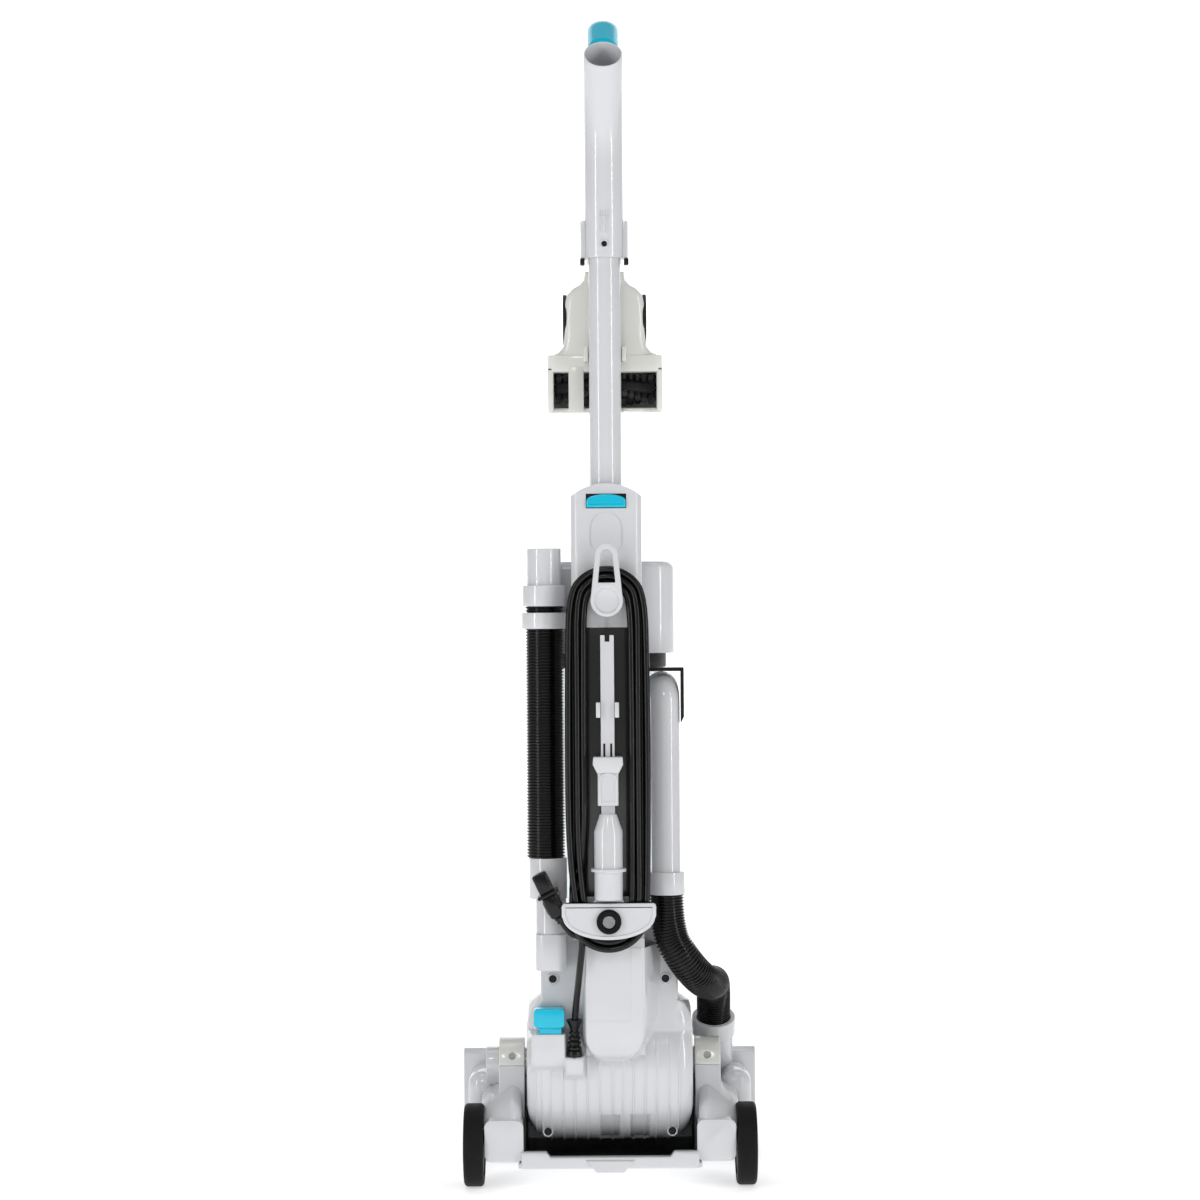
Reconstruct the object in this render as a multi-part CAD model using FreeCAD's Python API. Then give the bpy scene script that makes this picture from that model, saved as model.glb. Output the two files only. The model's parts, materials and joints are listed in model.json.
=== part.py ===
"""Upright bagless vacuum cleaner: every sub-part as its own solid, in millimetres.

+X is the user's right, +Y is forward (the way the nozzle is pushed), +Z is up.
The origin is on the floor, midway between the two rear wheels.
"""
import FreeCAD, Part
import math
import os

V = FreeCAD.Vector
X_AXIS = V(1, 0, 0)
Y_AXIS = V(0, 1, 0)
Z_AXIS = V(0, 0, 1)
ORIGIN = V(0, 0, 0)
UNDER = 50.0

# ---- driving dimensions (mm) ----
RUNNING_GAP = 0.06
BODY_GAP = 0.4
SLIDE_GAP = 0.3
WALL = 3.0

# wheels and floor contact
REAR_WHEEL_R = 39.0
REAR_WHEEL_W = 19.0
REAR_WHEEL_X = 129.0
HUB_R = 30.0
AXLE_R = 4.0
FRONT_WHEEL_R = 10.0
FRONT_WHEEL_W = 14.0
FRONT_WHEEL_X = 72.0
FRONT_WHEEL_Y = 134.0
FRONT_AXLE_R = 2.5

# recline pivot, which is also the motor shaft's axis
PIVOT_Y = 40.0
PIVOT_Z = 111.0
TRUNNION_R = 14.0
TRUNNION_BORE_R = 8.0
TRUNNION_END_X = 106.0
TOWER_R = 24.0

# motor housing
BARREL_R = 72.0
BARREL_X = 78.0
BARREL_CHAMFER_X = 18.0
BARREL_CHAMFER_R = 12.0
SHELL_SPLIT_Y = 62.0
NECK_X = 64.0
NECK_Y0 = -10.0
NECK_Y1 = 104.0
SEAT_Z = 218.0
MOTOR_ROOM = 28.0
MOTOR_R = BARREL_R - MOTOR_ROOM
MOTOR_X = 48.0
AIR_GAP = 17.0
ROTOR_R = MOTOR_R - AIR_GAP
FILTER_Y0 = PIVOT_Y + MOTOR_R + 3.5
FILTER_Y1 = PIVOT_Y + BARREL_R - 11.0
LOW_SCREW_X = 59.0
LOW_SCREW_Z = PIVOT_Z - BARREL_R + 13.0
ROTOR_X = 34.0
SHAFT_R = 4.0
PULLEY_R = 8.0

# foot
ARM_X0 = 81.5
ARM_X1 = 118.5
ARM_Y0 = -32.0
ARM_Z0 = 28.0
ARM_Z1 = 67.0
PAN_Z0 = 21.0
PAN_T = 5.0
CROSSBAR_Z1 = 38.0
NOZZLE_X = 144.0
NOZZLE_Y0 = 118.0
NOZZLE_Y1 = 246.0
NOZZLE_Z0 = 12.0
NOZZLE_Z1 = 112.0
SOLE_T = 4.0
MOUTH_X = 116.0
MOUTH_Y0 = 152.0
MOUTH_Y1 = 230.0
BRUSH_Y = 190.0
BRUSH_Z = 31.0
BRUSH_CORE_R = 20.0
BRUSH_TIP_R = 28.0
BRUSH_X = 116.0
BRUSH_AXLE_R = 5.0
BELT_X0 = -115.5
BELT_W = 8.0
BELT_T = 2.0
ELBOW_X = 102.0
ELBOW_Y = 84.0
ELBOW_R = 19.0
ELBOW_BORE_R = 16.0
ELBOW_RING_R = 21.0
ELBOW_TOP_Z = 148.0

# spine
SPINE_X = 33.0
SPINE_REAR = -62.0
SPINE_FRONT = -20.0
SPINE_LOW_Z = 128.0
SPINE_LOW_X0 = -22.0
SPINE_LOW_X1 = 33.0
SPINE_WIDE_Z = 240.0
SPINE_TOP_Z = 664.0
SPINE_SHOULDER_Z = 652.0
FLANGE_X = 64.0
FLANGE_Z0 = 172.0
FLANGE_Z1 = 272.0
FLANGE_Y0 = -22.0
FLANGE_Y1 = NECK_Y0 - BODY_GAP
PANEL_T = 4.0
PANEL_X = 28.0
PANEL_Z0 = 280.0
PANEL_Z1 = 530.0

# wand and handle
WAND_Y = -40.0
WAND_R = 15.0
WAND_WALL = 1.5
WAND_BORE_R = WAND_R - WAND_WALL
WAND_Z0 = 562.0
WAND_Z1 = 905.0
HANDLE_Z0 = 875.0
HANDLE_BEND_Z = 961.0
HANDLE_FIT = 1.5
HANDLE_WALL = 1.5
HANDLE_BORE_R = WAND_R + HANDLE_FIT
HANDLE_R = HANDLE_BORE_R + HANDLE_WALL
HANDLE_SCREW_Z = 887.0
HANDLE_SCREW_R = 2.6
HANDLE_BEND_R = 110.0
HANDLE_TURN = 50.0
HANDLE_END = 18.0
GRIP_W = 29.0
GRIP_T = 20.0
GRIP_POINTS = [V(0, -30, 938), V(0, 20, 978), V(0, 26, 1056), V(0, -24, 1099), V(0, -84, 1062)]
GRIP_RADII = [26, 34, 40]
HOLDER_WALL = 4.5
HOLDER_H = 35.0

# turbo tool, hung in front of the wand
TURBO_Y = 6.0
TURBO_X = 54.0
TURBO_Z0 = 733.0
TURBO_Z1 = 784.0
TURBO_REAR = -21.0
TURBO_FRONT = 33.0
DRUM_Z = 822.0
DRUM_R = 27.0
DRUM_X = 36.0
TURBO_NECK_R = 18.5
TURBO_NECK_TOP = 866.0
PEG_R = 14.6
TURBO_ROLL_Z = 757.0
TURBO_ROLL_Y = 3.0
TURBO_ROLL_R = 10.0
TURBO_TIP_R = 17.0

# dust tank
TANK_Y = 40.0
TANK_R = 55.0
TANK_WALL = 2.2
TANK_Z0 = SEAT_Z + BODY_GAP
COLLAR_Z0 = 491.0
COLLAR_R = TANK_R + 2.0
COLLAR_BORE_R = TANK_R - 7.0
THROAT_R = COLLAR_BORE_R - 2.0
SHROUD_Z0 = 310.0
SHROUD_WALL = 2.5
CONE_TIP_R = 18.0
CONE_H = 40.0
FILTER_H = 55.0
LATCH_X = 16.0
LATCH_Z0 = 558.3
LATCH_Z1 = 575.7
LATCH_PROUD = 2.5
LID_Z0 = 505.0
LID_Z1 = 592.0
LID_X = 64.0
LID_Y0 = -17.0
LID_Y1 = 97.0
SHROUD_R = 30.0
FILTER_R = 40.0
INLET_X = 50.0
INLET_R = 11.0

# rigid duct and foot hose on the right
DUCT_X = 54.0
DUCT_Y = -40.0
DUCT_R = 13.6
DUCT_BORE_R = 11.5
DUCT_TOP_Z = 488.0
DUCT_CUFF_Z1 = 301.0
DUCT_CUFF_Z0 = 280.0
DUCT_CUFF_R = 17.5
FOOT_HOSE_R = 16.4
FOOT_HOSE_BORE_R = 14.0

# stretch hose on the left
HOSE_X = -58.5
HOSE_Y = -40.0
HOSE_R = 18.0
HOSE_BORE_R = 15.5
HOSE_Z0 = 315.0
HOSE_Z1 = 550.0
NOZZLE_COLLAR_R = 20.4
NOZZLE_COLLAR_Z1 = 569.5
HOSE_NOZZLE_R = 16.0
HOSE_NOZZLE_BORE_R = 14.0
HOSE_NOZZLE_Z1 = 604.0
CLIP_Z0 = 529.0
CLIP_Z1 = 544.0
CUFF_Z0 = 277.0
PIPE_STEP_Z = 244.0
PIPE_Z0 = 210.0

# mains cord
CORD_R = 3.1
HANK_Y0 = -80.0
HANK_Y1 = -64.0
HANK_TOP_Z = 549.0
HANK_LOW_Z = 267.5
HANK_OUTER_R = 38.5
HANK_INNER_R = 18.5
HOOK_Z = 555.0
HOOK_HUB_R = 12.0
HOOK_RING_R = 15.0
HOOK_PLATE_T = 4.0
HOOK_ARM_Z = 608.0
HOOK_POST_R = 5.0
BRACKET_X = 43.5
BRACKET_Z0 = 242.0
BRACKET_Z1 = 276.0
BRACKET_T = 5.0

# crevice tool with dusting brush
CREVICE_Y = -79.5
CREVICE_BARREL_R = 13.2
CREVICE_BORE_R = 11.2
CREVICE_Z0 = 279.0
CREVICE_FLANGE_Z = 305.0
CREVICE_NECK_Z = 350.0
CREVICE_TIP_Z = 523.0
BLADE_X = 6.3
BLADE_Y0 = -79.6
BLADE_Y1 = -69.0

# power switch and release button
SWITCH_X0 = -71.0
SWITCH_X1 = -42.0
SWITCH_Y0 = -48.0
SWITCH_Y1 = -25.0
SWITCH_Z0 = 156.0
SWITCH_Z1 = 174.0
LEDGE_Z = 150.0
RELIEF_X = -33.0
RELIEF_Y = -38.0
RELIEF_Z0 = 128.0
RELIEF_Z1 = 163.0
BUTTON_X = 18.5
BUTTON_Z0 = 641.0
BUTTON_Z1 = 654.0
BUTTON_PROUD = 3.0
BUTTON_TRAVEL = 2.5

SCREW_R = 3.6


# ---- small shape helpers ----
def block(x0, y0, z0, x1, y1, z1):
    """A plain box from its two corners."""
    return Part.makeBox(x1 - x0, y1 - y0, z1 - z0, V(x0, y0, z0))


def rod(start, axis, radius, length):
    """A cylinder from a start point along an axis."""
    return Part.makeCylinder(radius, length, start, axis)


def ring(start, axis, outer, inner, length):
    """A straight tube with both ends open."""
    bore = rod(start - axis * UNDER, axis, inner, length + 2 * UNDER)
    return rod(start, axis, outer, length).cut(bore)


def fuse(*shapes):
    """One solid from several that touch."""
    whole = shapes[0]
    for shape in shapes[1:]:
        whole = whole.fuse(shape)
    return whole.removeSplitter()


def both_sides(shape):
    """A right-hand piece and its mirror image across the middle plane."""
    return [shape, shape.mirror(ORIGIN, X_AXIS)]


def face_from(points):
    """A flat face inside a closed polygon."""
    return Part.Face(Part.makePolygon(points + [points[0]]))


def prism_x(outline, x0, x1):
    """A (Y, Z) outline drawn out along X."""
    points = [V(x0, y, z) for y, z in outline]
    return face_from(points).extrude(V(x1 - x0, 0, 0))


def prism_y(outline, y0, y1):
    """An (X, Z) outline drawn out along Y."""
    points = [V(x, y0, z) for x, z in outline]
    return face_from(points).extrude(V(0, y1 - y0, 0))


def rounded(x0, y0, z0, x1, y1, z1, radius, axis="Z"):
    """A box with the four edges along one axis rounded."""
    shape = block(x0, y0, z0, x1, y1, z1)
    edges = [edge for edge in shape.Edges if abs(along(edge, axis)) > 0.9]
    return shape.makeFillet(radius, edges)


def along(edge, axis):
    """How closely a straight edge follows an axis, from -1 to 1."""
    span = edge.Vertexes[-1].Point - edge.Vertexes[0].Point
    parts = {"X": span.x, "Y": span.y, "Z": span.z}
    return parts[axis] / span.Length


def bent_path(points, radii):
    """Straight runs joined by tangent arcs of the given radii."""
    edges = []
    last = points[0]
    for index in range(1, len(points) - 1):
        corner = points[index]
        back = (points[index - 1] - corner).normalize()
        ahead = (points[index + 1] - corner).normalize()
        half = (math.pi - back.getAngle(ahead)) / 2
        reach = radii[index - 1] * math.tan(half)
        start = corner + back * reach
        end = corner + ahead * reach
        bisector = (back + ahead).normalize()
        middle = corner + bisector * (radii[index - 1] / math.cos(half) - radii[index - 1])
        if (start - last).Length > 0.01:
            edges.append(Part.LineSegment(last, start).toShape())
        edges.append(Part.Arc(start, middle, end).toShape())
        last = end
    edges.append(Part.LineSegment(last, points[-1]).toShape())
    return Part.Wire(edges)


def largest_radii(points):
    """The largest arc that each corner's two runs allow."""
    radii = []
    for index in range(1, len(points) - 1):
        back = points[index - 1] - points[index]
        ahead = points[index + 1] - points[index]
        half = (math.pi - back.getAngle(ahead)) / 2
        radii.append(0.45 * min(back.Length, ahead.Length) / math.tan(half))
    return radii


def pipe(wire, radius, start, direction):
    """A round bar swept along a wire."""
    circle = Part.Wire([Part.Circle(start, direction, radius).toShape()])
    return wire.makePipeShell([circle], True, True)


def stadium(radius, low_z, top_z, y0, y1):
    """An upright bar with round ends, flat to the rear."""
    low = rod(V(0, y0, low_z), Y_AXIS, radius, y1 - y0)
    top = rod(V(0, y0, top_z), Y_AXIS, radius, y1 - y0)
    return fuse(block(-radius, y0, low_z, radius, y1, top_z), low, top)


def barrel(radius, half_x, chamfer_x, chamfer_r):
    """A drum about the pivot with both rims coned off."""
    middle = half_x - chamfer_x
    shape = rod(V(-middle, PIVOT_Y, PIVOT_Z), X_AXIS, radius, 2 * middle)
    cone = Part.makeCone(radius, radius - chamfer_r, chamfer_x, V(middle, PIVOT_Y, PIVOT_Z), X_AXIS)
    return fuse(shape, *both_sides(cone))


def export(name, *shapes):
    """Write one node's solids to its own file."""
    solids = [solid for shape in shapes for solid in shape.Solids]
    shape = solids[0] if len(solids) == 1 else Part.makeCompound(solids)
    shape.exportStep("parts/" + name + ".step")
    bad = "" if all(solid.isValid() for solid in solids) else "  NOT VALID"
    print(name, len(solids), round(shape.Volume / 1000, 2), "cm3" + bad)


# ---- foot ----
def arm_right():
    """Right arm of the foot: wheel carrier, belt or duct side, and bearing tower."""
    low = rounded(ARM_X0, ARM_Y0, ARM_Z0, ARM_X1, 70, ARM_Z1, 7, "Y")
    front = block(ARM_X0, 69, PAN_Z0, ARM_X1, NOZZLE_Y0, 44)
    tower = prism_x([(6, 60), (16, PIVOT_Z), (64, PIVOT_Z), (76, 60)], ARM_X0, TRUNNION_END_X)
    arm = fuse(low, front, tower)
    hollow = block(ARM_X0 + WALL, ARM_Y0 + 30, PAN_Z0, ARM_X1 - WALL - 8, 66, ARM_Z1 - 16)
    bore = rod(V(ARM_X0 - 1, PIVOT_Y, PIVOT_Z), X_AXIS, TRUNNION_R + RUNNING_GAP, 60)
    axle = rod(V(ARM_X0, 0, REAR_WHEEL_R), X_AXIS, AXLE_R, 60)
    return arm.cut(hollow).cut(bore).cut(axle)


def belt_recess():
    """Room for the belt and both pulleys on the left side."""
    low = V(BELT_X0 - 1.5, BRUSH_Y, BRUSH_Z)
    top = V(BELT_X0 - 1.5, PIVOT_Y, PIVOT_Z)
    return belt_solid(BRUSH_CORE_R + 4, PULLEY_R + 5, low, top, BELT_W + 3)


def belt_solid(low_r, top_r, low, top, width):
    """The outline of a belt round two pulleys, as a solid."""
    span = top - low
    distance = span.Length
    tilt = math.asin((low_r - top_r) / distance)
    unit = V(0, span.y / distance, span.z / distance)
    side = V(0, -unit.z, unit.y)
    corners = []
    for sign in (1, -1):
        normal = side * (sign * math.cos(tilt)) + unit * math.sin(tilt)
        corners.append((low + normal * low_r, top + normal * top_r))
    points = [corners[0][0], corners[0][1], corners[1][1], corners[1][0]]
    web = face_from(points).extrude(V(width, 0, 0))
    return fuse(web, rod(low, X_AXIS, low_r, width), rod(top, X_AXIS, top_r, width))


def base_frame():
    """Floor pan, rear crossbar and the two arms."""
    right, left = both_sides(arm_right())
    pan = block(-ARM_X0 - 5, ARM_Y0 + 4, PAN_Z0, ARM_X0 + 5, NOZZLE_Y0, PAN_Z0 + PAN_T)
    bar = rounded(-ARM_X0 - 2, ARM_Y0 - 6, PAN_Z0 + 1, ARM_X0 + 2, ARM_Y0 + 6, CROSSBAR_Z1, 3, "X")
    slope = ARM_X0 - 25
    dip = prism_y([(-slope, CROSSBAR_Z1 - 5), (slope, CROSSBAR_Z1 - 5), (ARM_X0 - 6, 60), (6 - ARM_X0, 60)],
                  ARM_Y0 - UNDER, 8)
    tab = prism_y([(-22, 30), (22, 30), (13, 19), (-13, 19)], ARM_Y0 - 8, ARM_Y0)
    frame = fuse(pan, bar.cut(dip), tab, right, left, belt_cover())
    swing = barrel(BARREL_R + 3.5, BARREL_X + 2, BARREL_CHAMFER_X, BARREL_CHAMFER_R)
    recess = belt_recess()
    return frame.cut(swing).cut(recess)


def nozzle_outline(inset):
    """Side outline of the nozzle cover, drawn in by a wall."""
    return [
        (NOZZLE_Y0 + inset, NOZZLE_Z0),
        (NOZZLE_Y0 + inset, NOZZLE_Z1 - 4 - inset),
        (NOZZLE_Y0 + 6 + inset, NOZZLE_Z1 - inset),
        (NOZZLE_Y0 + 40, NOZZLE_Z1 - 3 - inset),
        (NOZZLE_Y0 + 90, NOZZLE_Z1 - 20 - inset),
        (NOZZLE_Y1 - 10 - inset, NOZZLE_Z0 + 42),
        (NOZZLE_Y1 - inset, NOZZLE_Z0 + 16),
        (NOZZLE_Y1 - inset, NOZZLE_Z0),
    ]


def foot_housing():
    """Cover of the floor nozzle with the belt and duct openings in its rear wall."""
    outer = prism_x(nozzle_outline(0), -NOZZLE_X, NOZZLE_X)
    inner = prism_x(nozzle_outline(WALL), -NOZZLE_X + WALL, NOZZLE_X - WALL)
    shell = outer.cut(inner.translated(V(0, 0, -0.01)))
    return shell.cut(elbow_bar(ELBOW_R)).cut(belt_recess())


def belt_cover():
    """Closed case over the belt between the left arm and the nozzle."""
    low = V(BELT_X0 - 3, BRUSH_Y, BRUSH_Z)
    top = V(BELT_X0 - 3, PIVOT_Y, PIVOT_Z)
    reach = -TRUNNION_END_X - (BELT_X0 - 3)
    case = belt_solid(BRUSH_CORE_R + 6, PULLEY_R + 7, low, top, reach)
    ahead = block(-200, NOZZLE_Y0, 0, 200, 400, 200)
    below = block(-200, 60, 0, 200, 400, PAN_Z0)
    return case.cut(ahead).cut(below)


def sole_plate():
    """Flat plate under the nozzle with the suction mouth."""
    top = NOZZLE_Z0
    plate = rounded(-NOZZLE_X + 2, NOZZLE_Y0 + 2, top - SOLE_T, NOZZLE_X - 2, NOZZLE_Y1 - 2, top, 8)
    mouth = block(-MOUTH_X - 1, MOUTH_Y0, 0, MOUTH_X + 1, MOUTH_Y1, 60)
    for x in (-FRONT_WHEEL_X, FRONT_WHEEL_X):
        half = FRONT_WHEEL_W / 2 + 5.5
        reach = FRONT_WHEEL_R + 2
        plate = plate.cut(block(x - half, FRONT_WHEEL_Y - reach, 0, x + half, FRONT_WHEEL_Y + reach, 60))
    return plate.cut(mouth)


def foot_bumper():
    """Soft strip along the front edge."""
    outer = block(-NOZZLE_X - 1, NOZZLE_Y1 - 18, NOZZLE_Z0 + 2, NOZZLE_X + 1, NOZZLE_Y1 + 3, NOZZLE_Z0 + 12)
    inner = block(-NOZZLE_X, NOZZLE_Y1 - 60, 0, NOZZLE_X, NOZZLE_Y1, 60)
    return outer.cut(inner)


def trunnion_cap():
    """Upper half of the right pivot bearing."""
    half = ring(V(ARM_X0, PIVOT_Y, PIVOT_Z), X_AXIS, TOWER_R, TRUNNION_R + RUNNING_GAP, TRUNNION_END_X - ARM_X0)
    cap = half.cut(block(0, -200, -50, 200, 300, PIVOT_Z))
    hole = rod(V(93, ARM_Y0, PIVOT_Z + 9), Y_AXIS, 3.2, 60)
    return cap.cut(hole)


def trunnion_screw():
    """Screw that holds one bearing cap."""
    return rod(V(93, PIVOT_Y - 20, PIVOT_Z + 9), Y_AXIS, 3.2, 6)


def wheel_axle():
    """Stub axle of the right rear wheel with its head."""
    shaft = rod(V(ARM_X0 + 10, 0, REAR_WHEEL_R), X_AXIS, AXLE_R, REAR_WHEEL_X + REAR_WHEEL_W / 2 - ARM_X0 - 13)
    head = rod(V(REAR_WHEEL_X + REAR_WHEEL_W / 2 - 3, 0, REAR_WHEEL_R), X_AXIS, AXLE_R + 3, 2)
    return fuse(shaft, head)


def front_bracket():
    """Pocket walls and axle that carry the right front wheel."""
    half = FRONT_WHEEL_W / 2
    base = NOZZLE_Z0
    centre = V(FRONT_WHEEL_X, FRONT_WHEEL_Y, FRONT_WHEEL_R)
    walls = []
    for sign in (-1, 1):
        x = FRONT_WHEEL_X + sign * (half + 3.5)
        walls.append(block(x - 1.5, FRONT_WHEEL_Y - 5, FRONT_WHEEL_R - 1, x + 1.5, FRONT_WHEEL_Y + 5, base + 20))
    roof = block(FRONT_WHEEL_X - half - 5, FRONT_WHEEL_Y - 5, base + 18, FRONT_WHEEL_X + half + 5,
                 FRONT_WHEEL_Y + 5, base + 22)
    axle = rod(centre - X_AXIS * (half + 5), X_AXIS, FRONT_AXLE_R, 2 * half + 10)
    return fuse(walls[0], walls[1], roof, axle)


def rear_tyre(x):
    """Soft tread of one rear wheel."""
    start = V(x - REAR_WHEEL_W / 2, 0, REAR_WHEEL_R)
    tyre = ring(start, X_AXIS, REAR_WHEEL_R, HUB_R, REAR_WHEEL_W)
    rims = [edge for edge in tyre.Edges if edge.Closed and edge.BoundBox.YLength > 2 * REAR_WHEEL_R - 1]
    return tyre.makeFillet(4, rims)


def rear_hub(x):
    """Hard wheel centre that runs on the stub axle."""
    side = 1 if x > 0 else -1
    start = V(x - REAR_WHEEL_W / 2 + 1, 0, REAR_WHEEL_R)
    hub = ring(start, X_AXIS, HUB_R, AXLE_R + RUNNING_GAP, REAR_WHEEL_W - 2)
    face = x + side * (REAR_WHEEL_W / 2 - 4)
    recess = rod(V(face, 0, REAR_WHEEL_R), X_AXIS * side, AXLE_R + 4, 10)
    return hub.cut(recess)


def front_wheel(x):
    """Small wheel behind the suction mouth."""
    start = V(x - FRONT_WHEEL_W / 2, FRONT_WHEEL_Y, FRONT_WHEEL_R)
    return ring(start, X_AXIS, FRONT_WHEEL_R, FRONT_AXLE_R + RUNNING_GAP, FRONT_WHEEL_W)


def brush_roll():
    """Core of the brush roll with its belt pulley groove and axle stubs."""
    centre = V(-BRUSH_X, BRUSH_Y, BRUSH_Z)
    core = rod(centre, X_AXIS, BRUSH_CORE_R, 2 * BRUSH_X)
    groove = ring(V(BELT_X0 - 0.3, BRUSH_Y, BRUSH_Z), X_AXIS, BRUSH_CORE_R + 5, BRUSH_CORE_R - 1, BELT_W + 0.6)
    axle = rod(V(-BRUSH_X - 9, BRUSH_Y, BRUSH_Z), X_AXIS, BRUSH_AXLE_R, 2 * BRUSH_X + 18)
    return fuse(core.cut(groove), axle)


def bristle_rows():
    """Four straight strips that stand for the spiral bristle rows."""
    strips = []
    for index in range(4):
        strip = block(-100, -2, BRUSH_CORE_R, 108, 2, BRUSH_TIP_R)
        strip.rotate(ORIGIN, X_AXIS, 45 + 90 * index)
        strip.translate(V(0, BRUSH_Y, BRUSH_Z))
        core = rod(V(-BRUSH_X, BRUSH_Y, BRUSH_Z), X_AXIS, BRUSH_CORE_R, 2 * BRUSH_X)
        strips.append(strip.cut(core))
    return strips


def brush_bearing():
    """Right end block that carries the brush roll."""
    shape = block(BRUSH_X + 1, BRUSH_Y - 16, NOZZLE_Z0, NOZZLE_X - WALL - 4, BRUSH_Y + 16, BRUSH_Z + 16)
    return shape.cut(rod(V(BRUSH_X, BRUSH_Y, BRUSH_Z), X_AXIS, BRUSH_AXLE_R + RUNNING_GAP, 9.6))


def drive_belt():
    """Flat rubber belt from the motor pulley to the brush roll."""
    low = V(BELT_X0, BRUSH_Y, BRUSH_Z)
    top = V(BELT_X0, PIVOT_Y, PIVOT_Z)
    gap = SLIDE_GAP
    inner_low = BRUSH_CORE_R - 1 + gap
    inner_top = PULLEY_R + gap
    outer = belt_solid(inner_low + BELT_T, inner_top + BELT_T, low, top, BELT_W)
    inner = belt_solid(inner_low, inner_top, low - X_AXIS, top - X_AXIS, BELT_W + 2)
    return outer.cut(inner)


ELBOW_AXIS = V(0, -0.417, 0.909).normalize()
ELBOW_MOUTH = V(ELBOW_X, ELBOW_Y, ELBOW_TOP_Z)


def elbow_bar(radius, ahead=0.0):
    """A bar along the elbow's centre line, from its mouth into the nozzle."""
    points = [ELBOW_MOUTH + ELBOW_AXIS * ahead, ELBOW_MOUTH - ELBOW_AXIS * 72, V(ELBOW_X, NOZZLE_Y0 + 36, 74)]
    return pipe(bent_path(points, [24]), radius, points[0], ELBOW_AXIS * -1)


def hose_elbow():
    """Duct from the foot hose down into the nozzle."""
    lip = rod(ELBOW_MOUTH - ELBOW_AXIS * 18, ELBOW_AXIS, ELBOW_RING_R, 18)
    socket = rod(ELBOW_MOUTH - ELBOW_AXIS * 12, ELBOW_AXIS, FOOT_HOSE_R + 0.1, 20)
    shape = fuse(elbow_bar(ELBOW_R), lip).cut(elbow_bar(ELBOW_BORE_R, 5)).cut(socket)
    return shape.cut(block(50, NOZZLE_Y0 + WALL + 8, 0, 150, 300, 200))


# ---- motor unit ----
def motor_shell():
    """Whole outer shell of the motor unit before it is split."""
    outer_barrel = barrel(BARREL_R, BARREL_X, BARREL_CHAMFER_X, BARREL_CHAMFER_R)
    inner_barrel = barrel(BARREL_R - WALL, BARREL_X - WALL, BARREL_CHAMFER_X, BARREL_CHAMFER_R)
    neck = rounded(-NECK_X, NECK_Y0, PIVOT_Z + 20, NECK_X, NECK_Y1, SEAT_Z, 12)
    room = rounded(-NECK_X + WALL, NECK_Y0 + WALL, PIVOT_Z, NECK_X - WALL, NECK_Y1 - WALL, SEAT_Z - WALL, 9)
    ledge = block(-74, -46, 122, -41, 0, LEDGE_Z)
    shelf = block(-42, -48, 118, -25, 0, RELIEF_Z0)
    boss = rod(V(-TRUNNION_END_X, PIVOT_Y, PIVOT_Z), X_AXIS, TRUNNION_R, 2 * TRUNNION_END_X)
    tunnel = rod(V(-TRUNNION_END_X - 1, PIVOT_Y, PIVOT_Z), X_AXIS, TRUNNION_BORE_R, 2 * TRUNNION_END_X + 2)
    stem_room = block(-66.5, -45, LEDGE_Z - 14, -44.5, -27, LEDGE_Z + 5)
    whole = fuse(outer_barrel, neck, ledge, shelf, boss)
    return whole.cut(inner_barrel).cut(room).cut(tunnel).cut(stem_room)


def rib_grooves():
    """Upright grooves in the rear of the motor housing."""
    grooves = []
    for x in (-58, -47, -36, -27, 27, 36, 47, 58):
        outer = ring(V(x - 0.8, PIVOT_Y, PIVOT_Z), X_AXIS, BARREL_R + 1, BARREL_R - 0.8, 1.6)
        grooves.append(outer.cut(block(-200, -20, 0, 200, 300, 300)).cut(block(-200, -80, 150, 200, 0, 300)))
    for x in (-8, 24):
        window = block(x - 10, -60, 0, x + 10, -2, 68)
        depth = ring(V(x - 10, PIVOT_Y, PIVOT_Z), X_AXIS, BARREL_R + 1, BARREL_R - 1.6, 20)
        grooves.append(window.common(depth))
    return grooves


def screw_points():
    """Where the rear screws of the body stand: x, y of the head, z and the part they enter."""
    return [(-53, FLANGE_Y0, 199), (53, FLANGE_Y0, 199), (-LOW_SCREW_X, -19.5, LOW_SCREW_Z),
            (LOW_SCREW_X, -19.5, LOW_SCREW_Z)]


def motor_housing():
    """Rear half of the motor unit, with the pivots, switch ledge and ribs."""
    ahead = block(-300, SHELL_SPLIT_Y, -50, 300, 400, 400)
    shape = motor_shell().cut(ahead)
    for groove in rib_grooves():
        shape = shape.cut(groove)
    for x, y, z in screw_points()[2:]:
        shape = shape.cut(rod(V(x, y - 20, z), Y_AXIS, SCREW_R, 60))
    return shape


def motor_front_cover():
    """Front half of the motor unit with the exhaust slots."""
    behind = block(-300, -400, -50, 300, SHELL_SPLIT_Y, 400)
    shape = motor_shell().cut(behind)
    for index in range(5):
        z = 92 + 9 * index
        shape = shape.cut(block(-34, 90, z, 34, 130, z + 4.5))
    return shape


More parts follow.
